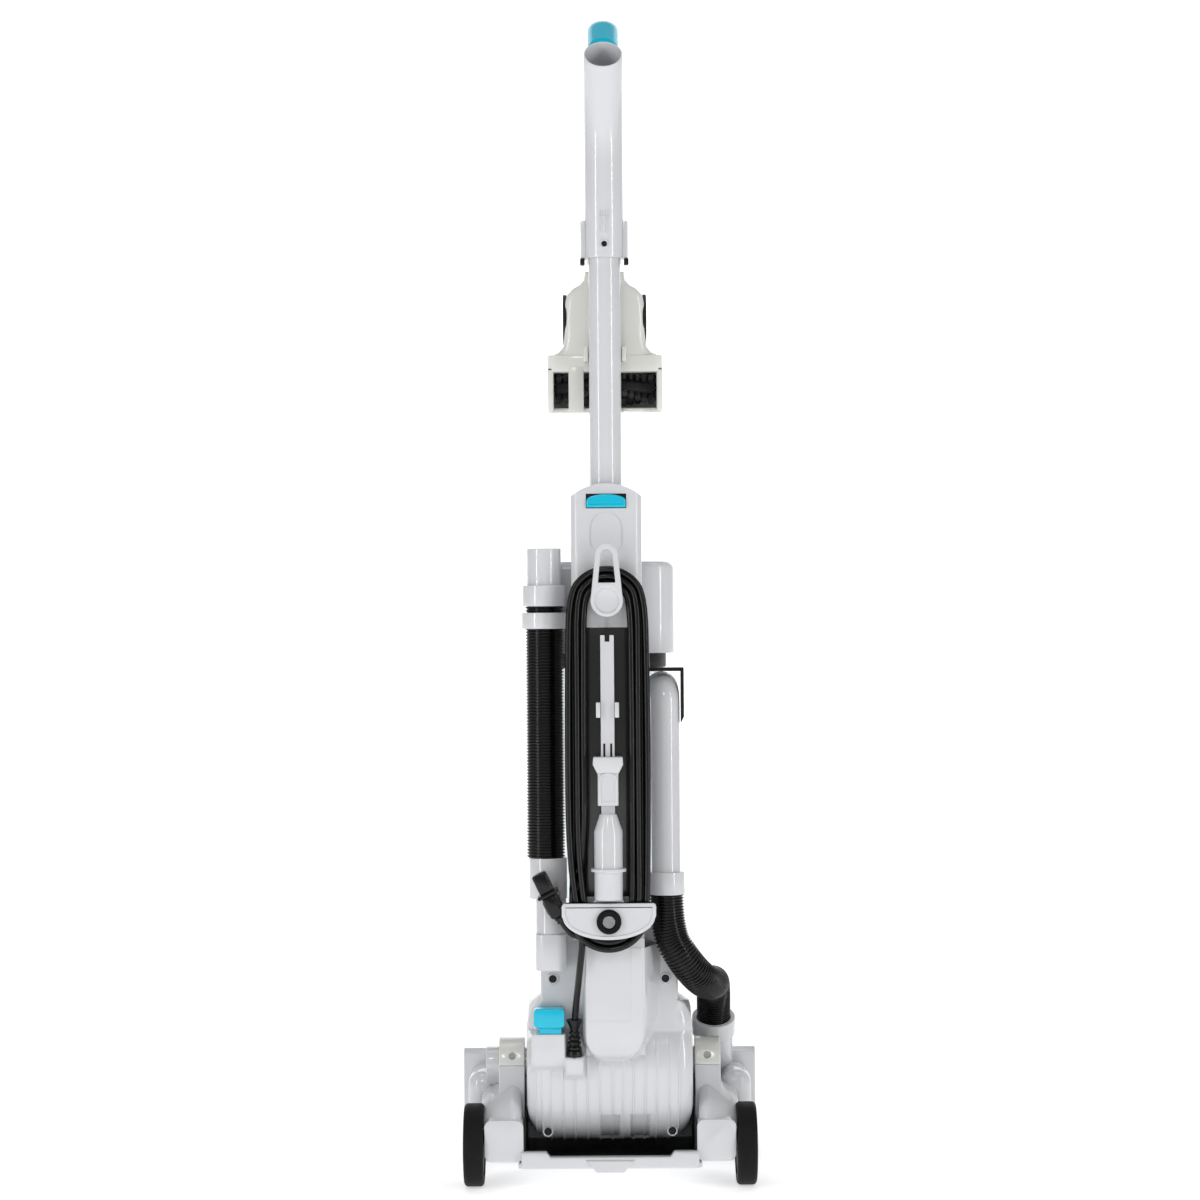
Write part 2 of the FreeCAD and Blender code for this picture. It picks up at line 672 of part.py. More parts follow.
def motor_casing():
    """Closed motor body with a bore for the shaft at each end."""
    outer = rod(V(-MOTOR_X, PIVOT_Y, PIVOT_Z), X_AXIS, MOTOR_R, 2 * MOTOR_X)
    inner = rod(V(-MOTOR_X + WALL, PIVOT_Y, PIVOT_Z), X_AXIS, MOTOR_R - WALL, 2 * MOTOR_X - 2 * WALL)
    bore = rod(V(-MOTOR_X - 1, PIVOT_Y, PIVOT_Z), X_AXIS, SHAFT_R + RUNNING_GAP, 2 * MOTOR_X + 2)
    vents = []
    for index in range(8):
        vent = block(-8, 20, -3, 8, MOTOR_R + 5, 3)
        vent.rotate(ORIGIN, X_AXIS, 22.5 + 45 * index)
        vents.append(vent.translated(V(0, PIVOT_Y, PIVOT_Z)))
    shape = outer.cut(inner).cut(bore)
    for vent in vents:
        shape = shape.cut(vent)
    return shape


def motor_mounts():
    """Two rubber rings that hold the motor in the shell."""
    mounts = []
    for x in (-MOTOR_X + 4, MOTOR_X - 12):
        full = ring(V(x, PIVOT_Y, PIVOT_Z), X_AXIS, BARREL_R - WALL - BODY_GAP, MOTOR_R, 8)
        flat = block(-200, -200, PIVOT_Z + 50, 200, 300, 400)
        ahead = block(-200, FILTER_Y0 - 1, -50, 200, 400, 400)
        mounts.append(full.cut(flat).cut(ahead))
    return mounts


def motor_rotor():
    """Armature, shaft and belt pulley, which turn as one."""
    shaft = rod(V(BELT_X0 - 0.5, PIVOT_Y, PIVOT_Z), X_AXIS, SHAFT_R, MOTOR_X + 3 - BELT_X0)
    core = rod(V(-ROTOR_X, PIVOT_Y, PIVOT_Z), X_AXIS, ROTOR_R, 2 * ROTOR_X)
    pulley = rod(V(BELT_X0 - 0.5, PIVOT_Y, PIVOT_Z), X_AXIS, PULLEY_R, BELT_W + 1)
    return fuse(shaft, core, pulley)


def exhaust_filter():
    """Foam block behind the exhaust slots."""
    return rounded(-38, FILTER_Y0, PIVOT_Z - 21, 38, FILTER_Y1, PIVOT_Z + 21, 3, "Y")


def power_switch():
    """Foot switch cap with its stem."""
    cap = rounded(SWITCH_X0, SWITCH_Y0, SWITCH_Z0, SWITCH_X1, SWITCH_Y1, SWITCH_Z1, 4, "Y")
    stem = block(-66, -44.5, LEDGE_Z - 6, -45, -27.5, SWITCH_Z0)
    return fuse(cap, stem)


# ---- spine ----
def spine_outline(half_x, shoulder, top):
    """Rear outline of the spine's head with its arched top."""
    arc = Part.Arc(V(-half_x, 0, shoulder), V(0, 0, top), V(half_x, 0, shoulder)).toShape()
    sides = [V(half_x, 0, shoulder), V(half_x, 0, SPINE_WIDE_Z), V(-half_x, 0, SPINE_WIDE_Z), V(-half_x, 0, shoulder)]
    lines = [Part.LineSegment(sides[i], sides[i + 1]).toShape() for i in range(3)]
    return Part.Face(Part.Wire([arc] + lines))


def spine_shell():
    """Tall rear column with the wand socket, side flanges and low panel."""
    column = spine_outline(SPINE_X, SPINE_SHOULDER_Z, SPINE_TOP_Z)
    column = column.translated(V(0, SPINE_REAR, 0)).extrude(V(0, SPINE_FRONT - SPINE_REAR, 0))
    corners = [edge for edge in column.Edges if rear_upright(edge)]
    column = column.makeFillet(8, corners)
    low = prism_x([(SPINE_REAR, 176), (SPINE_REAR + 30, SPINE_LOW_Z), (SPINE_FRONT, SPINE_LOW_Z),
                   (SPINE_FRONT, SPINE_WIDE_Z + 1), (SPINE_REAR, SPINE_WIDE_Z + 1)], SPINE_LOW_X0, SPINE_LOW_X1)
    top = FLANGE_Z1
    flange = prism_y([(-FLANGE_X, FLANGE_Z0), (FLANGE_X, FLANGE_Z0), (FLANGE_X, top - 40), (SPINE_X, top),
                      (-SPINE_X, top), (-FLANGE_X, top - 40)], FLANGE_Y0, FLANGE_Y1)
    lip = block(-SPINE_X + 2, SPINE_FRONT - 1, FLANGE_Z0, SPINE_X - 2, FLANGE_Y1, SEAT_Z)
    shape = fuse(column, low, flange, lip)
    post = rod(V(0, SPINE_REAR - 17, HOOK_Z), Y_AXIS, HOOK_POST_R, 20)
    shape = fuse(shape, post)
    shape = shape.cut(barrel(BARREL_R + 0.2, BARREL_X + 0.2, BARREL_CHAMFER_X, BARREL_CHAMFER_R))
    shape = shape.cut(rod(V(0, TANK_Y, SEAT_Z), Z_AXIS, TANK_R + 1, 400))
    return hollow_spine(shape)


def rear_upright(edge):
    """True for the two long upright edges at the rear of the column."""
    box = edge.BoundBox
    return box.ZLength > 200 and box.YMax < SPINE_REAR + 1


def hollow_spine(shape):
    """Cut the socket, the panel's recess, the cavity and the small openings."""
    socket = rod(V(0, WAND_Y, WAND_Z0), Z_AXIS, WAND_R + SLIDE_GAP, 200)
    recess = block(-PANEL_X, SPINE_REAR - 1, PANEL_Z0, PANEL_X, SPINE_REAR + PANEL_T, PANEL_Z1)
    cavity = block(-PANEL_X + 3, SPINE_REAR, PANEL_Z0 + 6, PANEL_X - 3, SPINE_FRONT - WALL, PANEL_Z1 - 6)
    pocket = block(-BUTTON_X - SLIDE_GAP, SPINE_REAR - 1, BUTTON_Z0 - SLIDE_GAP, BUTTON_X + SLIDE_GAP,
                   SPINE_REAR + BUTTON_TRAVEL + 2.3, BUTTON_Z1 + SLIDE_GAP)
    dish = stadium(15.5, 611, 622, SPINE_REAR - 1, SPINE_REAR + 1.2)
    shape = shape.cut(socket).cut(recess).cut(cavity).cut(pocket).cut(dish)
    for x, y, z in screw_points()[:2]:
        shape = shape.cut(rod(V(x, y - 1, z), Y_AXIS, SCREW_R, 20))
    return shape


def spine_panel():
    """Dark panel let into the rear of the column."""
    return block(-PANEL_X, SPINE_REAR, PANEL_Z0, PANEL_X, SPINE_REAR + PANEL_T, PANEL_Z1)


def tool_clips():
    """Two spring posts that grip the crevice tool's blade."""
    posts = []
    for sign in (-1, 1):
        x0 = sign * (BLADE_X + SLIDE_GAP)
        x1 = sign * (BLADE_X + SLIDE_GAP + 4)
        posts.append(block(min(x0, x1), BLADE_Y0 - 4, 447, max(x0, x1), SPINE_REAR, 461))
    return posts


def release_button():
    """Button that frees the wand."""
    return rounded(-BUTTON_X, SPINE_REAR - BUTTON_PROUD, BUTTON_Z0, BUTTON_X, SPINE_REAR + 2, BUTTON_Z1, 3, "Y")


def lower_bracket():
    """Fixed lower cord hook: a hub and a D-shaped plate."""
    y0 = HANK_Y0 - 1 - BRACKET_T
    arc = Part.Arc(V(BRACKET_X, y0, BRACKET_Z1 - 14), V(0, y0, BRACKET_Z0), V(-BRACKET_X, y0, BRACKET_Z1 - 14))
    corners = [V(-BRACKET_X, y0, BRACKET_Z1 - 14), V(-BRACKET_X, y0, BRACKET_Z1), V(BRACKET_X, y0, BRACKET_Z1),
               V(BRACKET_X, y0, BRACKET_Z1 - 14)]
    lines = [Part.LineSegment(corners[i], corners[i + 1]).toShape() for i in range(3)]
    plate = Part.Face(Part.Wire([arc.toShape()] + lines)).extrude(V(0, BRACKET_T, 0))
    hub = rod(V(0, y0 + 1, HANK_LOW_Z), Y_AXIS, HANK_INNER_R - 1, SPINE_REAR - y0 - 1)
    hub = hub.cut(block(-50, -200, BRACKET_Z1, 50, 0, 400))
    return fuse(plate, hub)


def bracket_face_y():
    """Rear face of the lower cord hook."""
    return HANK_Y0 - 1 - BRACKET_T


def bracket_bumper():
    """Round rubber bumper on the lower cord hook."""
    return ring(V(0, bracket_face_y() - 4, 259), Y_AXIS, 11.5, 5.6, 4)


def body_screws():
    """Screws of the body and of the bumper."""
    screws = [rod(V(0, bracket_face_y() - 3, 259), Y_AXIS, 5.6, 3)]
    for x, y, z in screw_points()[:2]:
        screws.append(rod(V(x, y + 1, z), Y_AXIS, SCREW_R, 5))
    for x, y, z in screw_points()[2:]:
        head_y = PIVOT_Y - math.sqrt(BARREL_R ** 2 - (PIVOT_Z - z) ** 2) + 3
        screws.append(rod(V(x, head_y, z), Y_AXIS, SCREW_R, 4))
    return screws


def cord_hook():
    """Swivelling upper cord hook: hub, ring plate and slotted arm."""
    y0 = HANK_Y0 - 1 - HOOK_PLATE_T
    disc = rod(V(0, y0, HOOK_Z), Y_AXIS, HOOK_RING_R, HOOK_PLATE_T)
    hub = rod(V(0, y0, HOOK_Z), Y_AXIS, HOOK_HUB_R, SPINE_REAR - 0.5 - y0)
    tip_r = 10.5
    arm = prism_y([(-HOOK_RING_R, HOOK_Z), (HOOK_RING_R, HOOK_Z), (tip_r, HOOK_ARM_Z - tip_r),
                   (-tip_r, HOOK_ARM_Z - tip_r)], y0, y0 + HOOK_PLATE_T)
    tip = rod(V(0, y0, HOOK_ARM_Z - tip_r), Y_AXIS, tip_r, HOOK_PLATE_T)
    slot = prism_y([(-8, HOOK_Z + 16.5), (8, HOOK_Z + 16.5), (5.5, HOOK_ARM_Z - 11), (-5.5, HOOK_ARM_Z - 11)],
                   y0 - 1, y0 + HOOK_PLATE_T + 1)
    slot_end = rod(V(0, y0 - 1, HOOK_ARM_Z - 11), Y_AXIS, 5.5, HOOK_PLATE_T + 2)
    dish = rod(V(0, y0 - 1, HOOK_Z), Y_AXIS, HOOK_HUB_R - 0.5, 3)
    bore = rod(V(0, SPINE_REAR - 17.5, HOOK_Z), Y_AXIS, HOOK_POST_R + RUNNING_GAP, 30)
    return fuse(disc, hub, arm, tip).cut(slot).cut(slot_end).cut(dish).cut(bore)


# ---- mains cord ----
def cord_hank():
    """Outer shape of the turns wound on the two hooks."""
    outer = stadium(HANK_OUTER_R, HANK_LOW_Z, HANK_TOP_Z, HANK_Y0, HANK_Y1)
    inner = stadium(HANK_INNER_R, HANK_LOW_Z, HANK_TOP_Z, HANK_Y0 - 1, HANK_Y1 + 1)
    return outer.cut(inner)


LEAD_POINTS = [
    V(-33, -38, 128), V(-33, -38, 152), V(-31.5, -45, 176), V(-29, -57, 197), V(-27, -68, 216), V(-24, -71.5, 240),
]
TAIL_POINTS = [V(-28, -71, 244), V(-36, -71.5, 247), V(-43, -71, 257)]
PLUG_AXIS = V(-0.4375, 0, 0.899).normalize()


def lead_tube():
    """Cord from its strain relief to the hank, and from the hank to the plug."""
    radii = largest_radii(LEAD_POINTS)
    wire = bent_path(LEAD_POINTS, radii)
    tube = pipe(wire, CORD_R, LEAD_POINTS[0], LEAD_POINTS[1] - LEAD_POINTS[0])
    tail_radii = largest_radii(TAIL_POINTS)
    tail_wire = bent_path(TAIL_POINTS, tail_radii)
    tail = pipe(tail_wire, CORD_R, TAIL_POINTS[0], TAIL_POINTS[1] - TAIL_POINTS[0])
    print("lead radii", [round(r, 1) for r in radii], "tail radii", [round(r, 1) for r in tail_radii])
    for shape, path in ((tube, wire), (tail, tail_wire)):
        expected = math.pi * CORD_R ** 2 * path.Length
        print("cord run", round(path.Length, 1), "mm, volume ratio", round(shape.Volume / expected, 4))
    relief = strain_relief()
    return tube.cut(relief), tail


def strain_relief():
    """Tapered, ribbed sleeve where the cord leaves the housing."""
    base = V(RELIEF_X, RELIEF_Y, RELIEF_Z0)
    lean = (LEAD_POINTS[1] - LEAD_POINTS[0]).normalize()
    shape = rod(base, lean, 7.5, 6)
    for index in range(4):
        shape = shape.fuse(rod(base + lean * (5 + 5 * index), lean, 6.6 - 0.6 * index, 3.4))
    shape = shape.fuse(rod(base, lean, 4.4, 24))
    mouth = Part.makeCone(4.4, 8, 11, base + lean * 23, lean)
    return shape.fuse(mouth).removeSplitter()


def cord_plug():
    """Moulded plug with its grip flange and blade cover."""
    start = TAIL_POINTS[-1]
    tail = Part.makeCone(4.2, 6.0, 8, start, PLUG_AXIS)
    body = turned_block(start + PLUG_AXIS * 7, 15, 18, 22)
    flange = turned_block(start + PLUG_AXIS * 28, 22, 24, 4)
    nose = turned_block(start + PLUG_AXIS * 31, 14, 17, 20)
    return fuse(tail, body, flange, nose)


def turned_block(start, width, depth, length):
    """A box along the plug's axis."""
    shape = rounded(-width / 2, -depth / 2, 0, width / 2, depth / 2, length, 3)
    angle = math.degrees(math.atan2(PLUG_AXIS.x, PLUG_AXIS.z))
    shape.rotate(ORIGIN, Y_AXIS, angle)
    return shape.translated(start)


# ---- crevice tool ----
def crevice_tool():
    """Crevice tool: spigot, flange, barrel, neck and flat blade with a notched tip."""
    axis_point = V(0, CREVICE_Y, CREVICE_Z0)
    spigot = rod(axis_point, Z_AXIS, CREVICE_BARREL_R, CREVICE_NECK_Z - CREVICE_Z0 - 8)
    flange = rod(V(0, CREVICE_Y, CREVICE_FLANGE_Z), Z_AXIS, 16.4, 3)
    cone = Part.makeCone(CREVICE_BARREL_R, BLADE_X + 1.5, 16, V(0, CREVICE_Y, CREVICE_NECK_Z - 8), Z_AXIS)
    blade = block(-BLADE_X, BLADE_Y0, CREVICE_NECK_Z, BLADE_X, BLADE_Y1, CREVICE_TIP_Z)
    bore = rod(axis_point - Z_AXIS, Z_AXIS, CREVICE_BORE_R, CREVICE_NECK_Z - CREVICE_Z0 - 8)
    funnel = Part.makeCone(CREVICE_BORE_R, BLADE_X - 1, 14, V(0, CREVICE_Y, CREVICE_NECK_Z - 10), Z_AXIS)
    channel = block(-BLADE_X + 1.6, BLADE_Y0 + 1.6, CREVICE_NECK_Z - 4, BLADE_X - 1.6, BLADE_Y1 - 1.6, 600)
    notch = block(-2.2, BLADE_Y0 - 5, CREVICE_TIP_Z - 6, 2.2, BLADE_Y1 + 5, 600)
    shape = fuse(spigot, flange, cone, blade)
    return shape.cut(bore).cut(funnel).cut(channel).cut(notch)


def dusting_brush():
    """Brush head that slides along the crevice tool's blade."""
    head = prism_y([(-13.5, 411), (13.5, 411), (14, 404), (10, 396), (-10, 396), (-14, 404)], -89.5, -66)
    slider = block(-9.5, -88, 366, 9.5, -66.5, 397)
    gap = SLIDE_GAP
    channel = block(-BLADE_X - gap, BLADE_Y0 - gap, 300, BLADE_X + gap, BLADE_Y1 + gap, 500)
    return fuse(head, slider).cut(channel)


# ---- hoses and ducts ----
def hose_clip():
    """C-shaped clip on the spine that holds the stretch hose."""
    loop = ring(V(HOSE_X, HOSE_Y, CLIP_Z0), Z_AXIS, 21.2, HOSE_R + SLIDE_GAP, CLIP_Z1 - CLIP_Z0)
    arm = block(HOSE_X + HOSE_R, HOSE_Y - 6, CLIP_Z0, -SPINE_X, HOSE_Y + 6, CLIP_Z1)
    mouth = block(HOSE_X - 9, HOSE_Y, CLIP_Z0 - 1, HOSE_X + 9, HOSE_Y + 40, CLIP_Z1 + 1)
    bore = rod(V(HOSE_X, HOSE_Y, CLIP_Z0 - 1), Z_AXIS, HOSE_R + SLIDE_GAP, 40)
    return fuse(loop, arm.cut(bore)).cut(mouth)


def stretch_hose():
    """Plain envelope of the corrugated stretch hose."""
    return ring(V(HOSE_X, HOSE_Y, HOSE_Z0), Z_AXIS, HOSE_R, HOSE_BORE_R, HOSE_Z1 - HOSE_Z0)


def hose_nozzle():
    """Free end of the stretch hose: collar and tapered nozzle."""
    collar = rod(V(HOSE_X, HOSE_Y, HOSE_Z1), Z_AXIS, NOZZLE_COLLAR_R, NOZZLE_COLLAR_Z1 - HOSE_Z1)
    tube = rod(V(HOSE_X, HOSE_Y, HOSE_Z1), Z_AXIS, HOSE_NOZZLE_R, HOSE_NOZZLE_Z1 - HOSE_Z1)
    bore = rod(V(HOSE_X, HOSE_Y, HOSE_Z1 - 1), Z_AXIS, HOSE_NOZZLE_BORE_R, 100)
    return fuse(collar, tube).cut(bore)


def hose_lower_cuff():
    """Cuff at the fixed end of the stretch hose."""
    cuff = rod(V(HOSE_X + 2, HOSE_Y, CUFF_Z0), Z_AXIS, 17.8, HOSE_Z0 - CUFF_Z0)
    bore = rod(V(HOSE_X + 2, HOSE_Y, CUFF_Z0 - 1), Z_AXIS, 14.2, 80)
    return cuff.cut(bore)


def hose_pipe():
    """Fixed pipe from the cuff down onto the body's flange."""
    upper = rod(V(HOSE_X + 4.5, HOSE_Y, PIPE_Z0 + 4), Z_AXIS, 14.2, CUFF_Z0 - PIPE_Z0 - 4)
    lower = rounded(HOSE_X + 4.5 - 14.5, HOSE_Y - 14.5, PIPE_Z0, HOSE_X + 4.5 + 14.5, FLANGE_Y0, PIPE_STEP_Z, 9)
    bore = rod(V(HOSE_X + 4.5, HOSE_Y, PIPE_Z0 + 12), Z_AXIS, 11.8, 100)
    return fuse(upper, lower).cut(bore)


def duct_pipe():
    """Rigid duct that bends forward into the tank's inlet."""
    top = DUCT_TOP_Z - DUCT_R
    points = [V(DUCT_X, DUCT_Y, DUCT_CUFF_Z0 + 2), V(DUCT_X, DUCT_Y, top), V(INLET_X, -8, top)]
    wire = bent_path(points, [15])
    outer = pipe(wire, DUCT_R, points[0], Z_AXIS)
    inner = pipe(wire, DUCT_BORE_R, points[0], Z_AXIS)
    cuff = rod(V(DUCT_X, DUCT_Y, DUCT_CUFF_Z0), Z_AXIS, DUCT_CUFF_R, DUCT_CUFF_Z1 - DUCT_CUFF_Z0)
    socket = rod(V(DUCT_X, DUCT_Y, DUCT_CUFF_Z0 - 1), Z_AXIS, FOOT_HOSE_R, 11)
    ahead = block(-200, LID_Y0 - 1, 0, 200, 200, 900)
    return fuse(outer, cuff).cut(inner).cut(socket).cut(ahead)


def duct_bracket():
    """Black strap from the spine over the top of the duct and down its side."""
    y0 = DUCT_Y - 7
    y1 = DUCT_Y + 7
    side_x = DUCT_X + DUCT_R + 1
    top = block(SPINE_X, y0, DUCT_TOP_Z + 0.6, side_x + 3, y1, DUCT_TOP_Z + 4)
    leg = prism_y([(side_x, DUCT_TOP_Z + 4), (side_x + 3, DUCT_TOP_Z + 4), (side_x + 3, 446), (side_x, 440)], y0, y1)
    return fuse(top, leg)


FOOT_HOSE_POINTS = [
    V(DUCT_X, DUCT_Y, DUCT_CUFF_Z0 + 9), V(DUCT_X, DUCT_Y, 246), V(NECK_X + 6, -42, 218), V(NECK_X + 22, -24, 198),
    V(97, 20, 188), ELBOW_MOUTH + ELBOW_AXIS * 40, ELBOW_MOUTH - ELBOW_AXIS * 11,
]


def foot_hose():
    """Plain envelope of the hose from the foot to the rigid duct."""
    wire = bent_path(FOOT_HOSE_POINTS, largest_radii(FOOT_HOSE_POINTS))
    start = FOOT_HOSE_POINTS[0]
    direction = FOOT_HOSE_POINTS[1] - start
    outer = pipe(wire, FOOT_HOSE_R, start, direction)
    inner = pipe(wire, FOOT_HOSE_BORE_R, start, direction)
    return outer.cut(inner)


# ---- dust tank ----
def tank_cup():
    """Clear cup with its inlet stub."""
    outer = rod(V(0, TANK_Y, TANK_Z0), Z_AXIS, TANK_R, COLLAR_Z0 - TANK_Z0)
    inner = rod(V(0, TANK_Y, TANK_Z0 + TANK_WALL), Z_AXIS, TANK_R - TANK_WALL, 400)
    inlet_z = DUCT_TOP_Z - DUCT_R
    face = LID_Y0 - 1 + BODY_GAP
    port = rod(V(INLET_X, face, inlet_z), Y_AXIS, INLET_R + 2, TANK_Y - face)
    hole = rod(V(INLET_X, face - 1, inlet_z), Y_AXIS, INLET_R, TANK_Y - face - 2)
    stub = port.cut(rod(V(0, TANK_Y, 0), Z_AXIS, TANK_R - TANK_WALL, 900))
    return fuse(outer.cut(inner), stub).cut(hole)


def tank_collar():
    """Dark gasket between the cup and the lid."""
    return ring(V(0, TANK_Y, COLLAR_Z0), Z_AXIS, COLLAR_R, COLLAR_BORE_R, LID_Z0 - COLLAR_Z0)


def tank_lid():
    """Lid that holds the filter, with a pocket for the latch at its front."""
    outer = rounded(-LID_X, LID_Y0, LID_Z0, LID_X, LID_Y1, LID_Z1, 22)
    tops = [edge for edge in outer.Edges if edge.BoundBox.ZMin > LID_Z1 - 0.01]
    outer = outer.makeFillet(8, tops)
    inner = rounded(-LID_X + WALL, LID_Y0 + WALL, LID_Z0 + WALL, LID_X - WALL, LID_Y1 - WALL, LID_Z1 - WALL, 19)
    throat = rod(V(0, TANK_Y, LID_Z0 - 1), Z_AXIS, THROAT_R, 10)
    side = LATCH_X + SLIDE_GAP
    pocket = block(-side, LID_Y1 - 10, LATCH_Z0 - SLIDE_GAP, side, LID_Y1 + 1, LATCH_Z1 + SLIDE_GAP)
    return outer.cut(inner).cut(throat).cut(pocket)


def tank_latch():
    """Push latch at the front of the lid."""
    return rounded(-LATCH_X, LID_Y1 - 7, LATCH_Z0, LATCH_X, LID_Y1 + LATCH_PROUD, LATCH_Z1, 3, "Y")


def tank_shroud():
    """Cyclone shroud that hangs from the filter plate."""
    inner_r = SHROUD_R - SHROUD_WALL
    drum_z = SHROUD_Z0 + CONE_H
    plate = rod(V(0, TANK_Y, LID_Z0), Z_AXIS, THROAT_R - 0.5, WALL)
    drum = rod(V(0, TANK_Y, drum_z), Z_AXIS, SHROUD_R, LID_Z0 + 1 - drum_z)
    cone = Part.makeCone(CONE_TIP_R, SHROUD_R, CONE_H, V(0, TANK_Y, SHROUD_Z0), Z_AXIS)
    bore = rod(V(0, TANK_Y, drum_z - 5), Z_AXIS, inner_r, 200)
    inner_cone = Part.makeCone(CONE_TIP_R - SHROUD_WALL, inner_r, CONE_H, V(0, TANK_Y, SHROUD_Z0 - 1), Z_AXIS)
    return fuse(plate, drum, cone).cut(bore).cut(inner_cone)


def tank_filter():
    """Round pleated filter in the lid."""
    return ring(V(0, TANK_Y, LID_Z0 + WALL), Z_AXIS, FILTER_R, CONE_TIP_R, FILTER_H)


# ---- wand ----
def wand_tube():
    """Straight tube that plugs into the spine."""
    return ring(V(0, WAND_Y, WAND_Z0 + 0.5), Z_AXIS, WAND_R, WAND_BORE_R, WAND_Z1 - WAND_Z0 - 0.5)


def handle_frame():
    """Corner points of the handle's bent centre line, and its end direction."""
    turn = math.radians(HANDLE_TURN)
    reach = HANDLE_BEND_R * math.tan(turn / 2)
    corner = V(0, WAND_Y, HANDLE_BEND_Z + reach)
    end_dir = V(0, -math.sin(turn), math.cos(turn))
    end = corner + end_dir * (reach + HANDLE_END)
    return V(0, WAND_Y, HANDLE_Z0), corner, end, end_dir


def handle_solid(radius, extra=0.0):
    """A bar along the handle's centre line."""
    start, corner, end, end_dir = handle_frame()
    wire = bent_path([start - Z_AXIS * extra, corner, end + end_dir * extra], [HANDLE_BEND_R])
    return pipe(wire, radius, start - Z_AXIS * extra, Z_AXIS)


def handle_tube():
    """Handle tube that bends back to an open port."""
    outer = handle_solid(HANDLE_R)
    inner = handle_solid(HANDLE_BORE_R, 5.0)
    sleeve = ring(V(0, WAND_Y, HANDLE_Z0), Z_AXIS, HANDLE_R, WAND_R, WAND_Z1 - HANDLE_Z0)
    screw = rod(V(0, WAND_Y - HANDLE_R - 5, HANDLE_SCREW_Z), Y_AXIS, HANDLE_SCREW_R, 9)
    return fuse(outer.cut(inner), sleeve).cut(screw)


def handle_grip():
    """Loop grip that rises from the front of the handle and meets it behind the port."""
    points = GRIP_POINTS
    wire = bent_path(points, GRIP_RADII)
    direction = (points[1] - points[0]).normalize()
    side = V(1, 0, 0)
    up = direction.cross(side)
    half_w = GRIP_W / 2
    half_t = GRIP_T / 2
    ellipse = Part.Ellipse(points[0] + side * half_w, points[0] + up * half_t, points[0])
    profile = Part.Wire([ellipse.toShape()])
    loop = wire.makePipeShell([profile], True, True)
    return loop.cut(handle_solid(HANDLE_R, 6.0))


def tool_holder():
    """Half collar on the handle's lower end with a forward peg for the turbo tool."""
    collar = ring(V(0, WAND_Y, HANDLE_Z0), Z_AXIS, HANDLE_R + HOLDER_WALL, HANDLE_R, HOLDER_H)
    collar = collar.cut(block(-40, -90, 800, 40, WAND_Y - 6, 1000))
    bridge = block(-12, WAND_Y + HANDLE_R + 1, HANDLE_Z0, 12, TURBO_Y + PEG_R - 4, HANDLE_Z0 + 9)
    cap = rod(V(0, TURBO_Y, HANDLE_Z0), Z_AXIS, PEG_R + 2, 9)
    peg = ring(V(0, TURBO_Y, HANDLE_Z0 - 34), Z_AXIS, PEG_R, PEG_R - 3, 36)
    return fuse(collar, bridge, cap, peg)


# ---- turbo tool ----
def turbo_housing():
    """Body of the turbo tool: neck, turbine drum, brush box, strap and tube prongs."""
    head = rounded(-TURBO_X, TURBO_REAR, TURBO_Z0, TURBO_X, TURBO_FRONT, TURBO_Z1, 9, "X")
    drum = rod(V(-DRUM_X, TURBO_Y, DRUM_Z), X_AXIS, DRUM_R, 2 * DRUM_X)
    waist = block(-DRUM_X, TURBO_REAR, TURBO_Z1 - 12, DRUM_X, TURBO_Y + 24, DRUM_Z)
    neck = rod(V(0, TURBO_Y, DRUM_Z), Z_AXIS, TURBO_NECK_R, TURBO_NECK_TOP - DRUM_Z)
    body = fuse(head, drum, waist, neck)
    room = block(-TURBO_X + 5, TURBO_REAR - 1, TURBO_Z0 + 5, TURBO_X - 5, TURBO_FRONT - 4, TURBO_Z1 - 5)
    drum_room = rod(V(-DRUM_X + WALL, TURBO_Y, DRUM_Z), X_AXIS, DRUM_R - WALL, 2 * DRUM_X - 2 * WALL)
    passage = block(-14, TURBO_Y - 12, TURBO_Z1 - 8, 14, TURBO_Y + 12, DRUM_Z)
    bore = rod(V(0, TURBO_Y, DRUM_Z), Z_AXIS, PEG_R + SLIDE_GAP, 100)
    axle = rod(V(-60, TURBO_ROLL_Y, TURBO_ROLL_Z), X_AXIS, 3 + RUNNING_GAP, 120)
    body = body.cut(room).cut(drum_room).cut(passage).cut(bore).cut(axle)
    strap = block(-34, TURBO_REAR, TURBO_Z0 + 3, -20, TURBO_REAR + 1.6, TURBO_Z1 - 3)
    prongs = []
    for sign in (-1, 1):
        x0 = sign * (WAND_R + SLIDE_GAP + 0.3)
        x1 = sign * (WAND_R + SLIDE_GAP + 3.5)
        prongs.append(block(min(x0, x1), WAND_Y + 2, 779, max(x0, x1), TURBO_REAR + 2, 793))
    return fuse(body, strap, *prongs)


def turbo_covers():
    """Side covers of the turbine drum."""
    cover = rod(V(DRUM_X, TURBO_Y, DRUM_Z), X_AXIS, DRUM_R - 3, 3.5)
    return both_sides(cover)


def turbo_brush():
    """Brush roll of the turbo tool with two rows of tufts."""
    core = rod(V(-47, TURBO_ROLL_Y, TURBO_ROLL_Z), X_AXIS, TURBO_ROLL_R, 94)
    axle = rod(V(-52.5, TURBO_ROLL_Y, TURBO_ROLL_Z), X_AXIS, 3, 105)
    fins = []
    for index in range(4):
        fin = block(-45, -1.5, 0, 45, 1.5, TURBO_TIP_R)
        fin.rotate(ORIGIN, X_AXIS, 45 + 90 * index)
        fins.append(fin.translated(V(0, TURBO_ROLL_Y, TURBO_ROLL_Z)))
    return fuse(core, axle, *fins)


